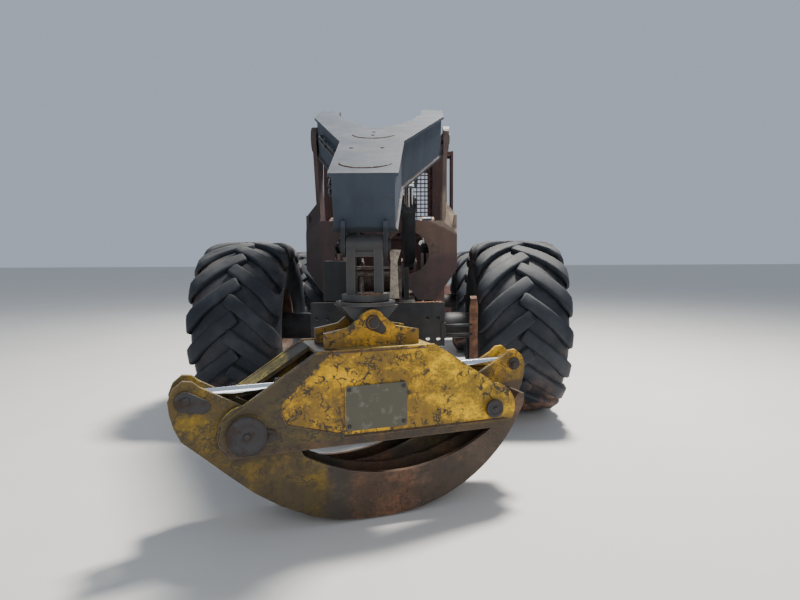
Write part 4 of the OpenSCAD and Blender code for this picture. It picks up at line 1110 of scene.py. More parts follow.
class Palette:
    """Finishes of the machine, each built once."""

    def __init__(self) -> None:
        """Builds the finishes that several sub-assemblies share."""
        self.paints()
        self.metals()
        self.trim = Plastic("trim_black", (0.030, 0.031, 0.033)).build()
        self.hose = Plastic("hose_black", (0.016, 0.018, 0.022), 0.45).build()
        # Near-black finish: painted shade that stands for the holes in the boom's top plate.
        self.hole_shade = Plastic("dark_plug", (0.002, 0.002, 0.003), 0.9, 0.05).build()
        self.cloth = Weave("seat_weave", (0.035, 0.036, 0.040)).build()
        self.lens = Lens("lamp_lens").build()

    def paints(self) -> None:
        """Builds the paints."""
        dark_below = 1.955
        horn = Stain((Plane((0.0, 0.0, -1.0), -dark_below),), (0.022, 0.026, 0.031), 0.95)
        self.body = Paint(
            "body_maroon", (0.105, 0.045, 0.038), (0.050, 0.027, 0.026), rust_share=0.48,
            grime_share=0.35, dust_share=0.18, gloss=0.3).build()
        self.frame = Paint(
            "frame_charcoal", (0.026, 0.031, 0.038), (0.014, 0.016, 0.020), rust_share=0.30,
            grime_share=0.4, dust_share=0.16, gloss=0.3).build()
        self.boom = Paint(
            "boom_slate", (0.038, 0.051, 0.072), (0.028, 0.037, 0.053), rust=(0.085, 0.042, 0.038),
            rust_share=0.16, grime_share=0.15, edge=0.5, dust_share=0.10, roughness=0.66,
            gloss=0.22, tints=(horn,)).build()
        self.link = Paint(
            "link_charcoal", (0.024, 0.028, 0.033), (0.013, 0.015, 0.018), rust_share=0.22,
            grime_share=0.5, dust_share=0.2).build()
        self.rim = Paint(
            "rim_rust", (0.10, 0.052, 0.036), (0.055, 0.032, 0.024), rust_share=0.55,
            dust_share=0.5).build()
        # Pale tan paint of dust; on the link's strip it also paints the sunlight on the leg's side face.
        self.dusty = Paint(
            "dusty_guard", (0.33, 0.28, 0.22), (0.24, 0.20, 0.155), rust_share=0.35,
            grime_share=0.6, dust_share=0.3).build()

    def metals(self) -> None:
        """Builds the bare metals, and the bark, which takes its stains as they do."""
        self.chrome = Metal("rod_chrome", (0.82, 0.84, 0.87), (0.30, 0.24, 0.18), 0.12, 0.12).build()
        self.steel = Metal(
            "dull_steel", (0.11, 0.10, 0.095), (0.06, 0.038, 0.030), 0.45, 0.6, 0.8).build()
        self.pin = Metal(
            "worn_pin", (0.036, 0.034, 0.037), (0.050, 0.034, 0.026), 0.55, 0.55, 0.35).build()
        self.patch = Metal(
            "patch_plate", (0.125, 0.124, 0.098), (0.088, 0.084, 0.062), 0.5, 0.8, 0.1).build()
        self.weld = Metal(
            "weld_bead", (0.12, 0.11, 0.11), (0.10, 0.055, 0.035), 0.5, 0.7, 0.5).build()
        self.burnt = Metal(
            "burnt_steel", (0.20, 0.13, 0.10), (0.12, 0.055, 0.03), 0.6, 0.8, 0.5).build()
        self.rope = Metal(
            "rope_steel", (0.13, 0.11, 0.10), (0.08, 0.048, 0.034), 0.45, 0.6, 0.7).build()
        self.rusty = Metal(
            "rusty_plate", (0.085, 0.038, 0.024), (0.20, 0.105, 0.060), 0.75, 0.55, 0.1).build()
        self.chips = Metal(
            "bark_chips", (0.33, 0.19, 0.11), (0.16, 0.085, 0.05), 0.85, 0.8, 0.0).build()


@dataclass
class SubAssembly:
    """Base of the sub-assemblies: places pieces and dresses CAD nodes."""

    palette: Palette
    pieces: list[str] = field(default_factory=list)

    def place(self, piece: Thing, finish: Material, body: str, slot: Slot,
              *replaced: str) -> Thing:
        """Gives a piece its finish and body.

        Args:
            piece: the piece.
            finish: its material.
            body: the CAD body that it rides on.
            slot: not used.
            replaced: CAD nodes that it stands for.

        Returns:
            The piece.
        """
        piece.data.materials.clear()
        piece.data.materials.append(finish)
        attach(piece, body)
        if replaced:
            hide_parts(*replaced)
        self.pieces.append(piece.name)
        return piece

    def coat(self, finish: Material, *nodes: str) -> None:
        """Gives CAD nodes a finish.

        Args:
            finish: the material.
            nodes: the nodes' names.
        """
        for name in nodes:
            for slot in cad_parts[name].material_slots:
                slot.link = "OBJECT"
                slot.material = finish

    def build(self) -> None:
        """Makes the meshes."""

    def dress(self) -> None:
        """Gives the CAD nodes their finishes."""

    def report(self) -> None:
        """Logs the pieces."""
        LOG.info("%s: %s", type(self).__name__, ", ".join(self.pieces) or "CAD nodes only")


@dataclass
class Wheel(SubAssembly):
    """A tyre with curved lugs in two staggered rows, and its rim's nuts."""

    name: str = "rear_left"
    centre: Point = ORIGIN
    radius: float = 0.95
    width: float = 0.94
    outside: float = 1.0
    rim: float = 0.406
    flange_share: float = 0.37
    disc_share: float = 0.45
    reach_share: float = 0.4995
    lug_height: float = 0.062
    lug_root: float = 0.02
    lug_count: int = 16
    lug_half: float = 0.074
    nut_count: int = 12
    nut_circle: float = 0.178
    nut_stand: float = 0.022
    nut_phase: float = 0.13

    # A lug from the middle out: across, drop, turn and lean in degrees, share of its width
    STATIONS: ClassVar[tuple[tuple[float, ...], ...]] = (
        (-0.052, 0.005, -1.6, 0, 0.90), (-0.030, 0.000, -0.8, 0, 1.0), (0.08, 0.000, 4.2, 1, 1.0),
        (0.19, 0.002, 9.0, 3, 1.0), (0.30, 0.008, 14.4, 8, 1.0), (0.385, 0.020, 19.0, 18, 1.02),
        (0.442, 0.042, 22.6, 34, 1.04), (0.480, 0.080, 25.3, 58, 1.04), (0.496, 0.125, 27.3, 76, 1.0),
        (0.499, 0.165, 28.8, 84, 0.9), (0.490, 0.200, 30.0, 88, 0.7))
    # A lug's section: share of its half width, and how far it has sunk towards its root
    SECTION: ClassVar[tuple[Flat, ...]] = (
        (-1.08, 1.0), (-1.02, 0.55), (-0.97, 0.22), (-0.86, 0.06), (-0.6, 0.0),
        (0.6, 0.0), (0.86, 0.06), (0.97, 0.22), (1.02, 0.55), (1.08, 1.0))

    def profile(self) -> list[Flat]:
        """Closed section of the carcass.

        Returns:
            Its points as [across, radius].
        """
        w, r, base = self.width, self.radius, self.radius - self.lug_height
        outer = [(self.flange_share * w, self.rim), (0.375 * w, self.rim + 0.03),
                 (0.392 * w, self.rim + 0.036), (0.42 * w, self.rim + 0.07),
                 (0.428 * w, self.rim + 0.078), (0.462 * w, 0.62 * r), (0.469 * w, 0.625 * r),
                 (0.484 * w, 0.70 * r), (0.486 * w, 0.74 * r), (0.480 * w, 0.78 * r),
                 (0.452 * w, 0.85 * r), (0.41 * w, 0.898 * r), (0.33 * w, base * 0.990),
                 (0.18 * w, base + 0.004), (0.0, base + 0.008)]
        inner = [(0.0, base - 0.055), (0.33 * w, base - 0.062), (0.44 * w, 0.76 * r),
                 (0.40 * w, 0.58 * r), (0.31 * w, self.rim)]
        left = [(-x, y) for x, y in reversed(outer[:-1])]
        return outer + left + [(-x, y) for x, y in reversed(inner[1:])] + inner

    def section(self, number: int, side: float, phase: float) -> list[Point]:
        """One section across a lug.

        Args:
            number: number of the station.
            side: 1 in the right row of lugs and -1 in the left one.
            phase: turn of the row in radians.

        Returns:
            Its corners.
        """
        r, w, last = self.radius, self.width, len(self.STATIONS) - 1
        spots = [(x * w, r - drop, math.radians(turn)) for x, drop, turn, _, _ in self.STATIONS]
        x, level, turn = spots[number]
        ahead, behind = spots[min(number + 1, last)], spots[max(number - 1, 0)]
        along = Vector((math.hypot(ahead[0] - behind[0], ahead[1] - behind[1]),
                        (ahead[2] - behind[2]) * r)).normalized()
        lean, share = math.radians(self.STATIONS[number][3]), self.STATIONS[number][4]
        depth = (self.lug_height + self.lug_root) * (1.0 - 0.62 * lean / math.radians(90))
        corners = []
        for across, sunk in self.SECTION:
            offset = across * self.lug_half * share
            out, drop = -along.y * offset, sunk * depth
            radius = level - out * math.sin(lean) - drop * math.cos(lean)
            spread = x + out * math.cos(lean) - drop * math.sin(lean)
            angle = turn + along.x * offset / r + phase
            corners.append((side * min(spread, self.reach_share * w), -radius * math.sin(angle),
                            radius * math.cos(angle)))
        return corners

    def lug(self) -> Thing:
        """One pair of worn lugs above the axle, each from the middle out over the shoulder.

        Returns:
            The pair.
        """
        verts, faces, n = [], [], len(self.SECTION)
        for side, phase in ((1.0, 0.0), (-1.0, math.pi / self.lug_count)):
            first = len(verts)
            for number in range(len(self.STATIONS)):
                verts += self.section(number, side, phase)
            for start in range(first, len(verts) - n, n):
                for k in range(n):
                    a, b = start + k, start + (k + 1) % n
                    faces.append((a, b, b + n, a + n))
            faces.append(tuple(range(first, first + n)))
            faces.append(tuple(range(len(verts) - n, len(verts))))
        return Solid.from_data("lug", verts, faces, True)

    def build(self) -> None:
        """Makes the tyre and the wheel nuts."""
        body = "wheel_" + self.name
        finish = Rubber("rubber_" + self.name, self.centre, self.radius).build()
        host = Solid.lathe("carcass", self.profile(), self.centre, Axis.X, 96, True)
        tyre = Repeat.round_axle("tyre_%s_lugged" % self.name, host, self.lug(), self.lug_count,
                                 self.centre, finish, True)
        self.place(tyre, finish, body, Slot.TYRE, "tyre_" + self.name)
        disc = self.width * self.flange_share * self.disc_share
        face = self.outside * (disc + self.nut_stand)
        profile = [(0.0, 0.0), (0.0, 0.021), (0.018, 0.019), (0.018, 0.012), (0.034, 0.011), (0.034, 0.0)]
        nut = Solid.lathe("nut", [(face + self.outside * along, radius) for along, radius in profile],
                          (0.0, 0.0, self.nut_circle), Axis.X, 6)
        empty = Solid.from_data("nuts_host", [self.centre], [])
        nuts = Repeat.round_axle("wheel_nuts_" + self.name, empty, nut, self.nut_count, self.centre,
                                 self.palette.steel, phase=self.nut_phase)
        self.place(nuts, self.palette.steel, body, Slot.RIM)

    def dress(self) -> None:
        """Coats the rim."""
        self.coat(self.palette.rim, "rim_" + self.name)


@dataclass
class Grapple(SubAssembly):
    """Grapple: head, tongs, link and swivel, with caps, bolts and weld beads.

    Places are drawn in its own frame: u to the right, v ahead and z up.
    """

    centre_y: float = -3.73
    yaw: float = math.radians(20.9)
    head_half: float = 0.29
    pin_u: float = 0.845
    pin_z: float = 0.687
    left_pin_shift: float = 0.005
    swing_pin_z: float = 1.317
    ear_z: float = 0.672
    lobe_z: float = 0.914
    patch_lift: float = 0.0115
    link_disc_top: float = 1.5005
    weld_radius: float = 0.0055

    def at(self, u: float, v: float, z: float) -> Point:
        """Point of the grapple's own frame in the machine's frame."""
        return (u * math.cos(self.yaw) - v * math.sin(self.yaw),
                self.centre_y + u * math.sin(self.yaw) + v * math.cos(self.yaw), z)

    def face(self, sign: float = 1.0) -> Face:
        """The grapple's front plane, in which -1 mirrors a tint's outline."""
        return Face((sign * math.cos(self.yaw), sign * math.sin(self.yaw), 0.0),
                    sign * self.centre_y * math.sin(self.yaw))

    def fit(self, piece: Thing, finish: Material, body: str = "head_body") -> None:
        """Turns a piece into the machine's frame and places it on the head or a tong."""
        Solid.moved(piece, (0, self.centre_y, 0), self.yaw, Axis.Z)
        self.place(piece, finish, body, Slot.GRAPPLE)

    @staticmethod
    def bolt(place: Point, radius: float, height: float, sides: int = 6) -> Thing:
        """Bolt head or washer that stands out of a face towards -v.

        Args:
            place: the middle of its foot.
            radius: its radius.
            height: its height.
            sides: its sides.

        Returns:
            The piece.
        """
        profile = [(0.0, 0.0), (0.0, radius), (-height * 0.8, radius), (-height, radius * 0.85),
                   (-height, 0.0)]
        return Solid.lathe("bolt", profile, place, Axis.Y, sides)

    @staticmethod
    def disc(place: Point, radius: float, height: float) -> Thing:
        """Round cap with a stepped edge and a dimple, standing out towards -v.

        Args:
            place: the middle of its foot.
            radius: its radius.
            height: its height.

        Returns:
            The piece.
        """
        profile = [(0.0, 0.0), (0.0, radius), (-height * 0.7, radius), (-height, radius * 0.95),
                   (-height, radius * 0.62), (-height * 0.82, radius * 0.58),
                   (-height * 0.82, radius * 0.24), (-height, radius * 0.2), (-height, 0.0)]
        return Solid.lathe("disc", profile, place, Axis.Y, 40)

    @staticmethod
    def stadium(start: Flat, end: Flat, first: float, second: float) -> list[Flat]:
        """Outline round two circles.

        Args:
            start: centre of the first circle.
            end: centre of the second circle.
            first: radius of the first one.
            second: radius of the second one.

        Returns:
            The outline as [along, height].
        """
        angle = math.atan2(end[1] - start[1], end[0] - start[0])
        outline = []
        for (u, z), radius, turn in ((start, first, math.pi / 2), (end, second, -math.pi / 2)):
            for k in range(13):
                a = angle + turn + math.pi * k / 12
                outline.append((u + radius * math.cos(a), z + radius * math.sin(a)))
        return outline

    def caps(self) -> None:
        """Makes the patch plate, and the pin caps, ear and boss of the head's face."""
        near, left = -self.head_half, -self.pin_u - self.left_pin_shift
        front = near - self.patch_lift
        outline = [(-0.226, 0.646), (-0.218, 0.638), (0.182, 0.636), (0.191, 0.645), (0.190, 0.922),
                   (0.180, 0.931), (-0.214, 0.931), (-0.226, 0.920)]
        patch = Solid.plate("patch_plate", outline, Axis.Y, front, front + 0.004, 0.0015)
        self.fit(patch, self.palette.patch)
        ear = self.stadium((-0.80, self.pin_z - 0.015), (-0.705, self.ear_z), 0.06, 0.036)
        boss = self.stadium((0.0, self.swing_pin_z), (0.062, 1.268), 0.052, 0.030)
        caps = [self.disc((left, near - 0.039, self.pin_z), 0.122, 0.016),
                Solid.plate("ear", ear, Axis.Y, near - 0.036, near - 0.012, 0.004),
                self.disc((self.pin_u, near - 0.019, self.pin_z), 0.066, 0.014),
                self.disc((0.0, -0.180, self.swing_pin_z), 0.036, 0.012),
                Solid.plate("boss", boss, Axis.Y, -0.178, -0.162, 0.003)]
        self.fit(Solid.joined("pin_caps", caps), self.palette.pin)
        bolts = [self.bolt((u, front, z), 0.013, 0.006, 16)
                 for u in (-0.205, 0.168) for z in (0.668, 0.905)]
        bolts += [self.bolt((self.pin_u, near - 0.032, self.pin_z), 0.016, 0.010),
                  self.bolt((left, near - 0.054, self.pin_z), 0.024, 0.014),
                  self.bolt((-0.712, near - 0.035, self.ear_z), 0.012, 0.010)]
        self.fit(Solid.joined("head_bolts", bolts), self.palette.pin)

    def lobes(self) -> None:
        """Makes the boss and its washer on each tong's lobe."""
        left = self.stadium((-1.195, 0.912), (-1.095, 0.876), 0.062, 0.044)
        right = self.stadium((1.19, 0.922), (1.191, 0.922), 0.048, 0.048)
        for (name, side), level, outline in zip(SIDES, (-0.262, 0.017), (left, right)):
            boss = [Solid.plate("boss", outline, Axis.Y, level - 0.012, level + 0.004, 0.003),
                    self.bolt((side * 1.19, level - 0.012, self.lobe_z), 0.026, 0.010, 20)]
            self.fit(Solid.joined("lobe_boss_" + name, boss), self.palette.pin, "tong_%s_body" % name)

    def build(self) -> None:
        """Makes the caps and bolts, the link's pale strip (dust and painted sunlight) and bark, and the
        head's weld beads.
        """
        self.caps()
        self.lobes()
        # Pale strip right of the link's right leg: dust colour that also paints the sunlight on the leg's
        # side face.
        outline = [(0.115, 1.462), (0.232, 1.462), (0.222, 1.715), (0.246, 1.800), (0.166, 1.800),
                   (0.174, 1.715), (0.168, 1.500), (0.115, 1.490)]
        guard = Solid.plate("hose_guard", outline, Axis.Y, self.centre_y + 0.020,
                            self.centre_y + 0.032, 0.002)
        self.place(guard, self.palette.dusty, "link_body", Slot.FRAME)
        chips = Repeat.scatter("link_chips", (-0.03, self.centre_y - 0.135, self.link_disc_top),
                               (0.095, self.centre_y - 0.070, self.link_disc_top), 6500.0, 3,
                               self.palette.chips)
        self.place(chips, self.palette.chips, "link_body", Slot.FRAME)
        edge = -self.head_half - 0.003
        paths = [[(-0.33, 1.145), (-0.64, 0.80), (-0.60, 0.715), (-0.244, 0.62)],
                 [(-0.33, 1.150), (0.33, 1.150)],
                 [(-0.244, 0.603), (0.93, 0.603)]]
        seams = Repeat.beads("head_welds", [[self.at(u, edge, z) for u, z in path] for path in paths],
                             self.weld_radius, self.palette.weld)
        self.place(seams, self.palette.weld, "head_body", Slot.GRAPPLE)

    def head_paint(self) -> Paint:
        """Paint of the head: yellow panel, upward faces paler and the lit right part brighter as painted
        sunlight, painted shade in the gap, and brown lower lip.

        Returns:
            The paint.
        """
        face = self.face()
        yellow, dim, bright = (0.82, 0.450, 0.001), (0.66, 0.345, 0.001), (0.94, 0.56, 0.001)
        olive, dark_olive, brown = (0.135, 0.096, 0.018), (0.090, 0.058, 0.022), (0.095, 0.047, 0.020)
        sunlit_yellow, black = (0.95, 0.70, 0.13), (0.014, 0.019, 0.022)
        panel = face.fence((-0.320, 1.157), (-0.633, 0.851), (-0.634, 0.782), (-0.599, 0.715),
                           (-0.236, 0.617), (0.99, 0.600))
        upper = face.fence((-2.0, 1.152), (2.0, 1.152))
        above_floor = face.fence((-2.0, 0.4), (2.0, 0.4))
        lit = panel + face.fence((0.35, 2.0), (0.35, 0.4))
        lip = face.fence((2.0, 0.600), (-2.0, 0.600))
        # Near-black on up-facing faces between u -0.52 and -0.26: painted shade.
        shaded_gap = face.fence((-0.26, 0.5), (-0.26, 3.0)) + face.fence((-0.52, 3.0), (-0.52, 0.5))
        return Paint(
            "head_yellow", olive, dark_olive, rust=(0.085, 0.042, 0.022), rust_share=0.40,
            grime_share=0.8, cracked=0.95, edge=1.0, dust_share=0.05, roughness=0.46, gloss=0.32,
            tints=(
                Stain(panel, yellow, 1.0, 0.006, 0.010),
                Stain(upper, dim, 1.0, 0.006, 0.004),
                # Pale yellow on upward faces above z 0.4: painted sunlight.
                Stain(above_floor, sunlit_yellow, 1.0, up=1.6),
                Stain(lit, bright, 0.8, 0.2, 0.2),
                Stain(lip, brown, 0.85, 0.02, 0.03),
                # Painted shade in the gap band.
                Stain(shaded_gap, black, 0.95, 0.02, 0.04, up=1.6)))

    def tong_paint(self, name: str, sign: float, lobe: Colour) -> Paint:
        """Paint of a tong: olive, with a coloured lobe and bands worn to rust and steel.

        Args:
            name: the tong's name.
            sign: 1 for the left tong, and -1 for the right one, which is mirrored.
            lobe: colour of its lobe.

        Returns:
            The paint.
        """
        side = self.face(sign)
        tints = [Stain(side.fence((-0.98, 0.0), (-0.98, 2.0)), lobe, 0.9, 0.06, 0.06)]
        for top, foot, colour, strength, soft, ragged in (
                (-0.40, -0.36, (0.070, 0.052, 0.040), 1.0, 0.06, 0.11),
                (-0.22, -0.19, (0.205, 0.092, 0.045), 0.95, 0.05, 0.09),
                (0.25, 0.25, (0.135, 0.078, 0.050), 0.9, 0.08, 0.06)):
            tints.append(Stain(side.fence((top, 2.0), (foot, 0.0)), colour, strength, soft, ragged))
        if sign < 0:
            crust = side.fence((-1.06, 0.0), (-1.06, 2.0)) + self.face().fence((2.0, 0.80), (-2.0, 0.80))
            tints.append(Stain(crust, (0.14, 0.072, 0.045), 0.9, 0.02, 0.05))
        return Paint(
            name + "_paint", (0.19, 0.118, 0.009), (0.075, 0.052, 0.013), rust=(0.085, 0.045, 0.025),
            rust_share=0.40, grime_share=0.85, cracked=0.7, edge=0.9, dust_share=0.05,
            roughness=0.48, gloss=0.32, tints=tuple(tints))

    def dress(self) -> None:
        """Coats the grapple's nodes, worn to bare steel on the tongs."""
        self.coat(self.head_paint().build(), "grapple_head")
        for name, sign, lobe in (("tong_left", 1.0, (0.30, 0.185, 0.005)),
                                 ("tong_right", -1.0, (0.84, 0.47, 0.001))):
            self.coat(self.tong_paint(name, sign, lobe).build(), name)
        self.coat(self.palette.link, "grapple_link", "swivel_yoke")


@dataclass
class Cylinders(SubAssembly):
    """Hydraulic cylinders of the steering, blade, arch, boom and tongs."""

    def dress(self) -> None:
        """Coats barrels and rods."""
        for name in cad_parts:
            if "barrel" in name:
                self.coat(self.palette.frame, name)
            elif "rod" in name:
                self.coat(self.palette.chrome, name)


@dataclass
class Boom(SubAssembly):
    """Boom with its weld arcs, near-black hole discs (painted shade) and pipes.

    Places are drawn in its own sloped frame: x to the right, s along it and t out of its top.
    """

    pin_y: float = -1.38
    pin_z: float = 2.98
    slope: float = math.radians(20.9)
    top: float = 0.257
    depth: float = 0.41
    seam_inset: float = 0.024
    lower_seam: float = 0.026
    upper_seam: float = 0.029
    weld_radius: float = 0.007
    pipe_radius: float = 0.011

    def at(self, x: float, s: float, t: float) -> Point:
        """Point of the boom's own frame in the machine's frame."""
        return (x, self.pin_y + s * math.cos(self.slope) - t * math.sin(self.slope),
                self.pin_z + s * math.sin(self.slope) + t * math.cos(self.slope))

    def welds(self) -> None:
        """Makes the two weld arcs on the top and the seams along the edges."""
        seams = []
        for half, s, sag in ((0.187, -1.15, 0.20), (0.185, -2.27, 0.16)):
            angles = [math.radians(-78 + 6 * i) for i in range(27)]
            seams.append([self.at(half * math.sin(a), s - sag * math.cos(a), self.top + 0.001)
                          for a in angles])
        side = [(0.235 - self.seam_inset, -2.560), (0.266 - self.seam_inset, -1.475), (0.638, -0.18),
                (0.638, 0.24)]
        upper, lower = self.top - self.upper_seam, self.top - self.depth + self.lower_seam
        for _, sign in SIDES:
            for level in (upper, lower):
                seams.append([self.at(sign * x, s, level) for x, s in side])
        seams.append([self.at(x, -2.545, upper) for x in (-0.21, 0.21)])
        beads = Repeat.beads("boom_welds", seams, self.weld_radius, self.palette.weld)
        self.place(beads, self.palette.weld, "boom_body", Slot.BOOM)

    def hole_discs(self) -> None:
        """Makes near-black discs on the boom's top plate: painted shade that stands for its holes."""
        profile = [(0.0, 0.0), (0.0, 0.019), (0.004, 0.016), (0.004, 0.009), (0.001, 0.0)]
        hole_discs = []
        for x, s in ((-0.006, -1.05), (-0.006, -1.20), (-0.148, -1.75), (0.097, -1.75), (0.081, -2.40)):
            plug = Solid.lathe("plug", profile, ORIGIN, Axis.Z, 16)
            hole_discs.append(Solid.moved(plug, self.at(x, s, self.top - 0.001), self.slope))
        self.place(Solid.joined("boom_plugs", hole_discs), self.palette.hole_shade, "boom_body", Slot.BOOM)

    def pipes(self) -> None:
        """Makes the two pipes on the boom's left side, and their clamps."""
        run = [(-2.42, -0.18), (-2.38, -0.253), (-1.56, -0.279), (-1.43, -0.290), (-0.55, -0.560),
               (-0.50, -0.540)]
        pieces = []
        for level in (0.075, 0.125):
            path = Solid.curve([self.at(x, s, level) for s, x in run], 4)
            pieces.append(Solid.tube("pipe", path, self.pipe_radius, 10))
        for s, x in ((-2.2, -0.256), (-1.75, -0.270), (-1.25, -0.343), (-0.80, -0.482)):
            ends = [self.at(x, s, level) for level in (0.055, 0.145)]
            pieces.append(Solid.tube("clamp", ends, 0.016, 6))
        self.place(Solid.joined("boom_pipes", pieces), self.palette.hose, "boom_body", Slot.TRIM)

    def build(self) -> None:
        """Makes the welds, the painted-shade hole discs and the pipes."""
        self.welds()
        self.hole_discs()
        self.pipes()

    def dress(self) -> None:
        """Coats the boom."""
        self.coat(self.palette.boom, "boom")


@dataclass
class Arch(SubAssembly):
    """Tilting arch, winch and fairlead of the rear half, with its mud scraper and bark."""

    drum: Point = (0.0, -1.69, 1.49)
    drum_half: float = 0.262
    drum_radius: float = 0.1185
    rope_radius: float = 0.0085
    rope_turns: int = 29
    rope_pitch: float = 0.0172
    deck: float = 1.2895
    sill: float = 1.3005

    def rope(self) -> None:
        """Makes the rope's turns on the winch's drum."""
        section = [(self.rope_radius * math.cos(a), self.drum_radius + self.rope_radius * math.sin(a))
                   for a in [math.pi * i / 4 for i in range(8)]]
        turn = Solid.lathe("turn", section, ORIGIN, Axis.X, 40, True)
        rope = Repeat.row("winch_rope", turn, self.rope_turns,
                          (-self.drum_half, self.drum[1], self.drum[2]), (self.rope_pitch, 0.0, 0.0),
                          self.palette.rope)
        self.place(rope, self.palette.rope, "rear_body", Slot.FRAME)

    def scraper(self) -> None:
        """Makes the bent mud scraper by the right tyre, and the clamp with its two rods."""
        blade = [(0.885, 0.69), (0.905, 0.67), (0.962, 0.70), (0.966, 1.26), (0.955, 1.33),
                 (0.893, 1.33), (0.882, 1.22)]
        fold = [(-2.137, 1.325), (-2.075, 1.352), (-2.073, 1.343), (-2.133, 1.314)]
        plates = [Solid.plate("blade", blade, Axis.Y, -2.138, -2.126, 0.002),
                  Solid.plate("fold", fold, Axis.X, 0.893, 0.955, 0.001)]
        self.place(Solid.joined("mud_scraper", plates), self.palette.rusty, "rear_body", Slot.FRAME)
        clamp = [Solid.box("clamp", (0.606, -2.218, 0.955), (0.652, -2.165, 1.105), 0.004)]
        for level in (0.985, 1.075):
            clamp.append(Solid.tube("rod", [(0.625, -2.190, level), (0.91, -2.128, level)], 0.014))
        self.place(Solid.joined("scraper_clamp", clamp), self.palette.frame, "rear_body", Slot.FRAME)

    def build(self) -> None:
        """Makes the rope, the mud scraper and the bark on the deck and the tail."""
        self.rope()
        self.scraper()
        for name, low, high, level, density, seed in (
                ("deck_chips", (-0.31, -1.34), (0.31, -0.10), self.deck, 260.0, 4),
                ("tail_chips", (0.34, -2.200), (0.60, -2.174), self.sill, 4200.0, 9)):
            chips = Repeat.scatter(name, (*low, level), (*high, level), density, seed,
                                   self.palette.chips)
            self.place(chips, self.palette.chips, "rear_body", Slot.FRAME)

    def dress(self) -> None:
        """Coats the arch, with painted sunlight on its right and painted shade on its left, and the rear
        half's nodes.
        """
        right = Plane((1.0, 0.0, 0.0), 0.15)
        post = Plane((1.0, 0.0, 0.0), 0.50)
        # Left of x -0.66: the side that gets painted shade.
        left = Plane((-1.0, 0.0, 0.0), 0.66)
        middle, upper = Plane(UP, 1.74), Plane(UP, 2.44)
        # Tan band on the right shoulder and post: painted sunlight over rust tan, not wear.
        worn = Face().fence((0.50, 2.135), (0.86, 1.95)) + (post,)
        arch = Paint(
            "arch_maroon", (0.085, 0.042, 0.040), (0.045, 0.026, 0.028), rust_share=0.42,
            grime_share=0.45, dust_share=0.18, tints=(
                # Lighter brown on the right half above z 1.74: painted sunlight.
                Stain((middle, right), (0.160, 0.088, 0.062), 0.8, 0.10, 0.12),
                # Painted sunlight on the right shoulder.
                Stain(worn, (0.30, 0.225, 0.165), 0.9, 0.012, 0.02),
                # Darker left side past x -0.66: painted shade.
                Stain((left,), (0.030, 0.026, 0.030), 0.8, 0.05, 0.08),
                Stain((upper,), (0.070, 0.040, 0.042), 0.8, 0.08, 0.05)))
        self.coat(arch.build(), "arch")
        self.coat(self.palette.frame, "rear_frame", "rear_axle", "winch")
        self.coat(self.palette.steel, "fairlead")


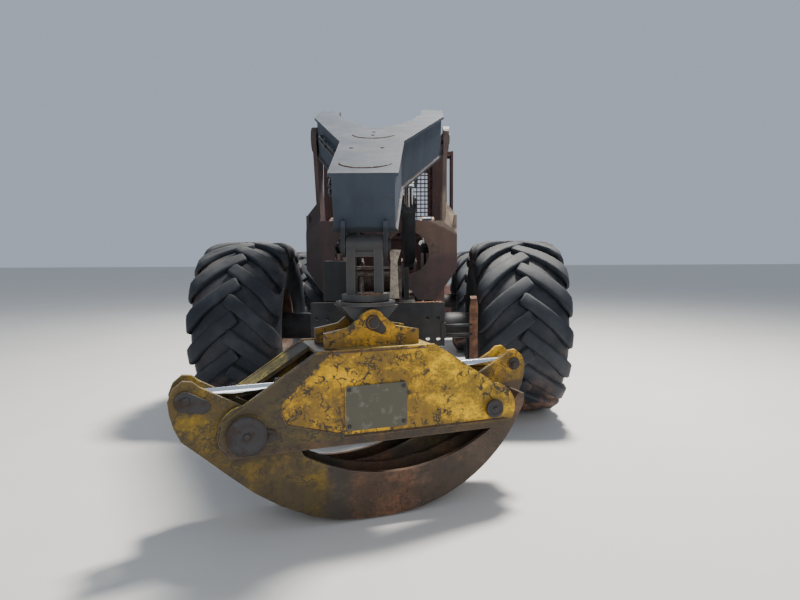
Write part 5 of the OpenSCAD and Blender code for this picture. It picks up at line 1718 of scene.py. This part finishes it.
@dataclass
class Cab(SubAssembly):
    """Cab with its guards, door seals, grab rails, lamp bezels, seat and controls."""

    rear: float = -0.15
    half: float = 0.79
    bar_radius: float = 0.007
    bar_count: int = 19
    bar_pitch: float = 0.052
    wire_radius: float = 0.0045
    seal_width: float = 0.022
    rail_y: float = 1.345
    rail_radius: float = 0.013
    pad_radius: float = 0.022
    pad_rise: float = 0.014

    def build(self) -> None:
        """Makes the guard bars, door trim, grab rails, lamp bezels and the seat."""
        reach = self.half - 0.13
        bar = Solid.tube("bar", [(-reach, 0, 0), (reach, 0, 0)], self.bar_radius, 8)
        bars = Repeat.row("guard_bars", bar, self.bar_count, (0.0, self.rear - 0.030, 2.02),
                          (0.0, 0.0, self.bar_pitch), self.palette.body)
        self.place(bars, self.palette.body, "front_body", Slot.BODY)
        for name, side in SIDES:
            self.door_trim(name, side)
        self.rails()
        self.bezels()
        self.seat()

    def door_trim(self, name: str, side: int) -> None:
        """Makes the seals round a door's openings and the wire mesh of its window.

        Args:
            name: which door.
            side: -1 on the left and 1 on the right.
        """
        body = "door_%s_body" % name
        near, far = sorted((side * (self.half - 0.004), side * (self.half + 0.006)))
        seals = [Solid.border("seal", Axis.X, (near, 0.345, low), (far, 0.955, high),
                              self.seal_width, 0.002)
                 for low, high in ((1.905, 2.945), (1.645, 1.855))]
        self.place(Solid.joined("door_seals_" + name, seals), self.palette.trim, body, Slot.BODY)
        wires = [Solid.tube("a", [(0, -0.29, 0), (0, 0.29, 0)], self.wire_radius, 6)]
        for i in range(11):
            y = -0.26 + self.bar_pitch * i
            wires.append(Solid.tube("b", [(0, y, -0.026), (0, y, 0.026)], self.wire_radius, 6))
        mesh = Repeat.row("door_mesh_" + name, Solid.joined("bar", wires), self.bar_count,
                          (side * (self.half - 0.014), 0.65, 1.945), (0.0, 0.0, self.bar_pitch),
                          self.palette.body)
        self.place(mesh, self.palette.body, body, Slot.BODY)

    def rails(self) -> None:
        """Makes the grab rail at the cab's front edge on each side."""
        bend = [(0.785, 1.70), (0.838, 1.73), (0.845, 1.80), (0.845, 2.62), (0.838, 2.69), (0.785, 2.72)]
        rails = []
        for _, side in SIDES:
            path = Solid.curve([(side * x, self.rail_y, z) for x, z in bend], 5)
            rails.append(Solid.tube("rail", path, self.rail_radius, 10))
        self.place(Solid.joined("grab_rails", rails), self.palette.dusty, "front_body", Slot.BODY)

    def bezels(self) -> None:
        """Makes the frames of the roof's and the grille's lamps."""
        bezels = []
        for x in (-0.62, -0.38, 0.38, 0.62):
            for near, far in ((1.512, 1.546), (-0.246, -0.212)):
                bezels.append(Solid.border("bezel", Axis.Y, (x - 0.078, near, 3.136),
                                           (x + 0.078, far, 3.2065), 0.011, 0.002))
        for _, side in SIDES:
            x = side * 0.40
            bezels.append(Solid.border("bezel", Axis.Y, (x - 0.060, 3.690, 1.512),
                                       (x + 0.060, 3.716, 1.632), 0.012, 0.002))
        self.place(Solid.joined("lamp_bezels", bezels), self.palette.trim, "front_body", Slot.TRIM)

    def seat(self) -> None:
        """Makes the seat's pads and its frame with the arm rests, for the CAD seat."""
        self.pad("seat_cushion", (-0.24, 0.22, 1.86), (0.24, 0.72, 1.97))
        self.pad("seat_back", (-0.23, 0.17, 1.98), (0.23, 0.28, 2.58))
        base = [Solid.box("base", (-0.17, 0.30, 1.56), (0.17, 0.64, 1.86), 0.012),
                Solid.box("post", (-0.10, 0.19, 1.80), (0.10, 0.24, 2.20), 0.008)]
        for _, side in SIDES:
            arm, stay = side * 0.295, side * 0.245
            base.append(Solid.box("arm", (arm - 0.04, 0.31, 2.08), (arm + 0.04, 0.71, 2.15), 0.02))
            base.append(Solid.box("stay", (stay - 0.045, 0.31, 1.87), (stay + 0.045, 0.41, 2.09), 0.01))
        self.place(Solid.joined("seat_frame", base), self.palette.trim, "front_body", Slot.TRIM, "seat")

    def pad(self, name: str, low: Point, high: Point) -> None:
        """One crowned seat pad, blown up by cloth pressure and then held to a small rise.

        Args:
            name: the pad's name.
            low: lowest corner.
            high: highest corner.
        """
        piece = Solid.box(name, low, high, self.pad_radius)
        remesh = piece.modifiers.new("even", "REMESH")
        remesh.mode = "VOXEL"
        remesh.voxel_size = 0.012
        piece = Solid.settled(piece)
        start = [v.co.copy() for v in piece.data.vertices]
        cloth = piece.modifiers.new("fill", "CLOTH")
        cloth.settings.use_pressure = True
        cloth.settings.uniform_pressure_force = 4.0
        cloth.settings.effector_weights.gravity = 0.0
        for step in range(1, 15):
            bpy.context.scene.frame_set(step)
        piece = Solid.settled(piece)
        bpy.context.scene.frame_set(1)
        for vertex, old in zip(piece.data.vertices, start):
            move = vertex.co - old
            if move.length > self.pad_rise:
                vertex.co = old + move.normalized() * self.pad_rise
        Solid.shade(piece.data)
        self.place(piece, self.palette.cloth, "front_body", Slot.SEAT)

    def dress(self) -> None:
        """Coats the cab's nodes."""
        self.coat(self.palette.body, "cab_shell", "cab_roof", "rear_guard", "door_left", "door_right")
        self.coat(self.palette.trim, "controls")
        self.coat(self.palette.lens, "lamps")


@dataclass
class FrontEnd(SubAssembly):
    """Hood, grille, stack, tanks, fenders, front frame and blade."""

    hood_half: float = 0.48
    slat_half: float = 0.041
    step_rise: float = 0.19
    tread_half: float = 0.004
    grille_y: float = 3.672
    wire_radius: float = 0.004
    stack_y: float = 2.07
    edge_lean: float = math.radians(-42.4)

    def row(self, name: str, part: Thing, count: int, start: Point, step: Point, finish: Material,
            body: str = "front_body", slot: Slot = Slot.BODY) -> None:
        """Repeats a part in a row and places the result.

        Args:
            name: the piece's name.
            part: the small part.
            count: how many.
            start: place of the first one.
            step: from one to the next.
            finish: the material.
            body: the CAD body that it rides on.
            slot: the record's slot.
        """
        self.place(Repeat.row(name, part, count, start, step, finish), finish, body, slot)

    def hood_trim(self) -> None:
        """Makes the louvres and the bolts on both sides of the hood."""
        slats, heads = [], []
        for _, side in SIDES:
            x = side * (self.hood_half - 0.016)
            for level in (1.805, 1.848, 1.891, 1.934, 1.977):
                outline = [(x - side * 0.012, level + 0.016), (x + side * 0.012, level - 0.008),
                           (x + side * 0.014, level - 0.005), (x - side * 0.010, level + 0.019)]
                slats.append(Solid.plate("slat", outline, Axis.Y, -self.slat_half, self.slat_half))
            profile = [(0.0, 0.0), (0.0, 0.015), (side * 0.004, 0.015), (side * 0.005, 0.009),
                       (side * 0.010, 0.009), (side * 0.010, 0.0)]
            for level in (1.505, 2.065):
                foot = (side * (self.hood_half - 0.001), 0.0, level)
                heads.append(Solid.lathe("head", profile, foot, Axis.X, 6))
        self.row("hood_louvres", Solid.joined("slats", slats), 6, (0.0, 1.91, 0.0), (0.0, 0.150, 0.0),
                 self.palette.body)
        self.row("hood_bolts", Solid.joined("heads", heads), 12, (0.0, 1.53, 0.0), (0.0, 0.185, 0.0),
                 self.palette.steel)

    def treads(self) -> None:
        """Makes the ribs on the steps of both sides."""
        ribs = []
        for _, side in SIDES:
            near, far = sorted((side * 0.724, side * 0.846))
            for step in range(3):
                rise = self.step_rise * step
                ribs.append(Solid.box("rib", (near, -self.tread_half, 1.008 + rise),
                                      (far, self.tread_half, 1.021 + rise), 0.0))
        self.row("step_treads", Solid.joined("ribs", ribs), 17, (0.0, 1.43, 0.0), (0.0, 0.0255, 0.0),
                 self.palette.steel)

    def stack(self) -> None:
        """Makes the open rain cap of the stack, its hinge and two bands."""
        lid = [(0.0, 0.0), (0.0, 0.066), (0.004, 0.070), (0.010, 0.064), (0.016, 0.0)]
        cap = Solid.lathe("cap", lid, ORIGIN, Axis.Z, 32)
        fittings = [Solid.moved(cap, (0.0, self.stack_y + 0.010, 2.883), math.radians(28)),
                    Solid.box("ear", (-0.014, 2.005, 2.820), (0.014, 2.018, 2.872), 0.002)]
        band = [(-0.012, 0.094), (-0.012, 0.099), (0.012, 0.099), (0.012, 0.094)]
        for level in (2.335, 2.520):
            fittings.append(Solid.lathe("band", band, (0.0, self.stack_y, level), Axis.Z, 40, True))
        self.place(Solid.joined("stack_fittings", fittings), self.palette.burnt, "front_body",
                   Slot.BURNT)

    def build(self) -> None:
        """Makes the louvres, bolts, step treads, grille wires, stack cap and cutting edge bolts."""
        self.hood_trim()
        self.treads()
        wire = Solid.tube("wire", [(0, self.grille_y, 1.492), (0, self.grille_y, 2.05)],
                          self.wire_radius, 6)
        self.row("grille_wires", wire, 25, (-0.408, 0.0, 0.0), (0.034, 0.0, 0.0), self.palette.frame,
                 slot=Slot.FRAME)
        self.stack()
        head = Solid.lathe("head", [(0.0, 0.0), (0.0, 0.020), (0.007, 0.017), (0.009, 0.0)], ORIGIN,
                           Axis.Z, 16)
        self.row("edge_bolts", Solid.moved(head, ORIGIN, self.edge_lean), 14, (-1.235, 4.352, 0.407),
                 (0.190, 0.0, 0.0), self.palette.steel, "blade_body")

    def dress(self) -> None:
        """Coats the front half's nodes."""
        self.coat(self.palette.body, "hood", "tank_left", "tank_right", "blade")
        self.coat(self.palette.frame, "front_frame", "front_axle", "grille", "front_fenders")
        self.coat(self.palette.burnt, "exhaust_stack", "engine_block")
        self.coat(self.palette.trim, "air_cleaner")


@dataclass
class Studio:
    """Plain pale floor, soft light and the camera at the photograph's angle."""

    eye: Point = (0.302, -7.761, 1.797)
    pitch: float = 4.86
    yaw: float = 0.9
    roll: float = -0.29
    lens: float = 26.33
    sensor: float = 36.0
    sight: float = 500.0
    floor_half: float = 60.0
    sky: Colour = (0.70, 0.80, 0.95)
    sky_strength: float = 0.55
    key_power: float = 3000.0
    fill_power: float = 210.0
    rim_power: float = 260.0

    def build(self) -> None:
        """Makes the floor, the sky, the lights and the camera."""
        self.floor()
        world = bpy.data.worlds.new("soft_sky")
        world.use_nodes = True
        back = world.node_tree.nodes["Background"]
        back.inputs["Color"].default_value = (*self.sky, 1.0)
        back.inputs["Strength"].default_value = self.sky_strength
        bpy.context.scene.world = world
        self.light("key", (2.6, 0.6, 10.2), (0.0, -2.2, 1.0), self.key_power, 1.6, (1.0, 0.96, 0.9))
        self.light("fill", (1.2, -11.0, 3.6), (0.0, -2.0, 1.0), self.fill_power, 5.0,
                   (1.0, 0.98, 0.95))
        self.light("rim", (-2.5, 8.5, 6.5), (0.0, 0.0, 1.4), self.rim_power, 4.0, (1.0, 1.0, 1.0))
        self.camera()

    def floor(self) -> None:
        """Makes the floor with its own faint clouds."""
        half = self.floor_half
        corners = [(x, y, 0) for x, y in Solid.rectangle((-half, -half), (half, half))]
        floor = Solid.from_data("floor", corners, [(0, 1, 2, 3)])
        g = Graph("pale_floor")
        colour = g.mix(g.noise(0.8, 4.0), (0.60, 0.58, 0.55), (0.66, 0.645, 0.62))
        floor.data.materials.append(g.finish(colour, 0.9))

    def camera(self) -> None:
        """Makes the camera and looks through it."""
        camera = Solid.shown("camera", bpy.data.cameras.new("camera"))
        camera.data.lens = self.lens
        camera.data.sensor_width = self.sensor
        camera.data.clip_end = self.sight
        aim = (Matrix.Rotation(math.radians(self.yaw), 3, "Z")
               @ Matrix.Rotation(math.radians(90.0 - self.pitch), 3, "X")
               @ Matrix.Rotation(math.radians(self.roll), 3, "Z"))
        camera.location = self.eye
        camera.rotation_euler = aim.to_euler()
        bpy.context.scene.camera = camera

    def light(self, name: str, spot: Point, target: Point, power: float, size: float,
              colour: Colour) -> None:
        """Makes one soft square light.

        Args:
            name: its name.
            spot: where it hangs.
            target: where it points.
            power: watts.
            size: side length in metres.
            colour: its colour.
        """
        lamp = bpy.data.lights.new(name, "AREA")
        lamp.energy = power
        lamp.size = size
        lamp.color = colour
        thing = Solid.shown(name, lamp)
        thing.location = spot
        thing.rotation_euler = (Vector(target) - Vector(spot)).to_track_quat("-Z", "Y").to_euler()


def main() -> None:
    """Builds and dresses the machine's sub-assemblies in order."""
    logging.basicConfig(level=logging.INFO, format="%(name)s: %(message)s")
    palette = Palette()
    Studio().build()
    parts: list[SubAssembly] = []
    for end, half_track, y, radius, width in (("rear", 1.46, -1.17, 0.95, 0.94),
                                              ("front", 1.48, 2.73, 0.89, 0.78)):
        for name, side in SIDES:
            centre = (side * half_track, y, radius)
            parts.append(Wheel(palette, name=end + "_" + name, centre=centre, radius=radius,
                               width=width, outside=float(side)))
    parts += [Grapple(palette), Cylinders(palette), Boom(palette), Arch(palette), Cab(palette),
              FrontEnd(palette)]
    for part in parts:
        part.build()
        part.dress()
        part.report()


if __name__ == "__main__":
    main()
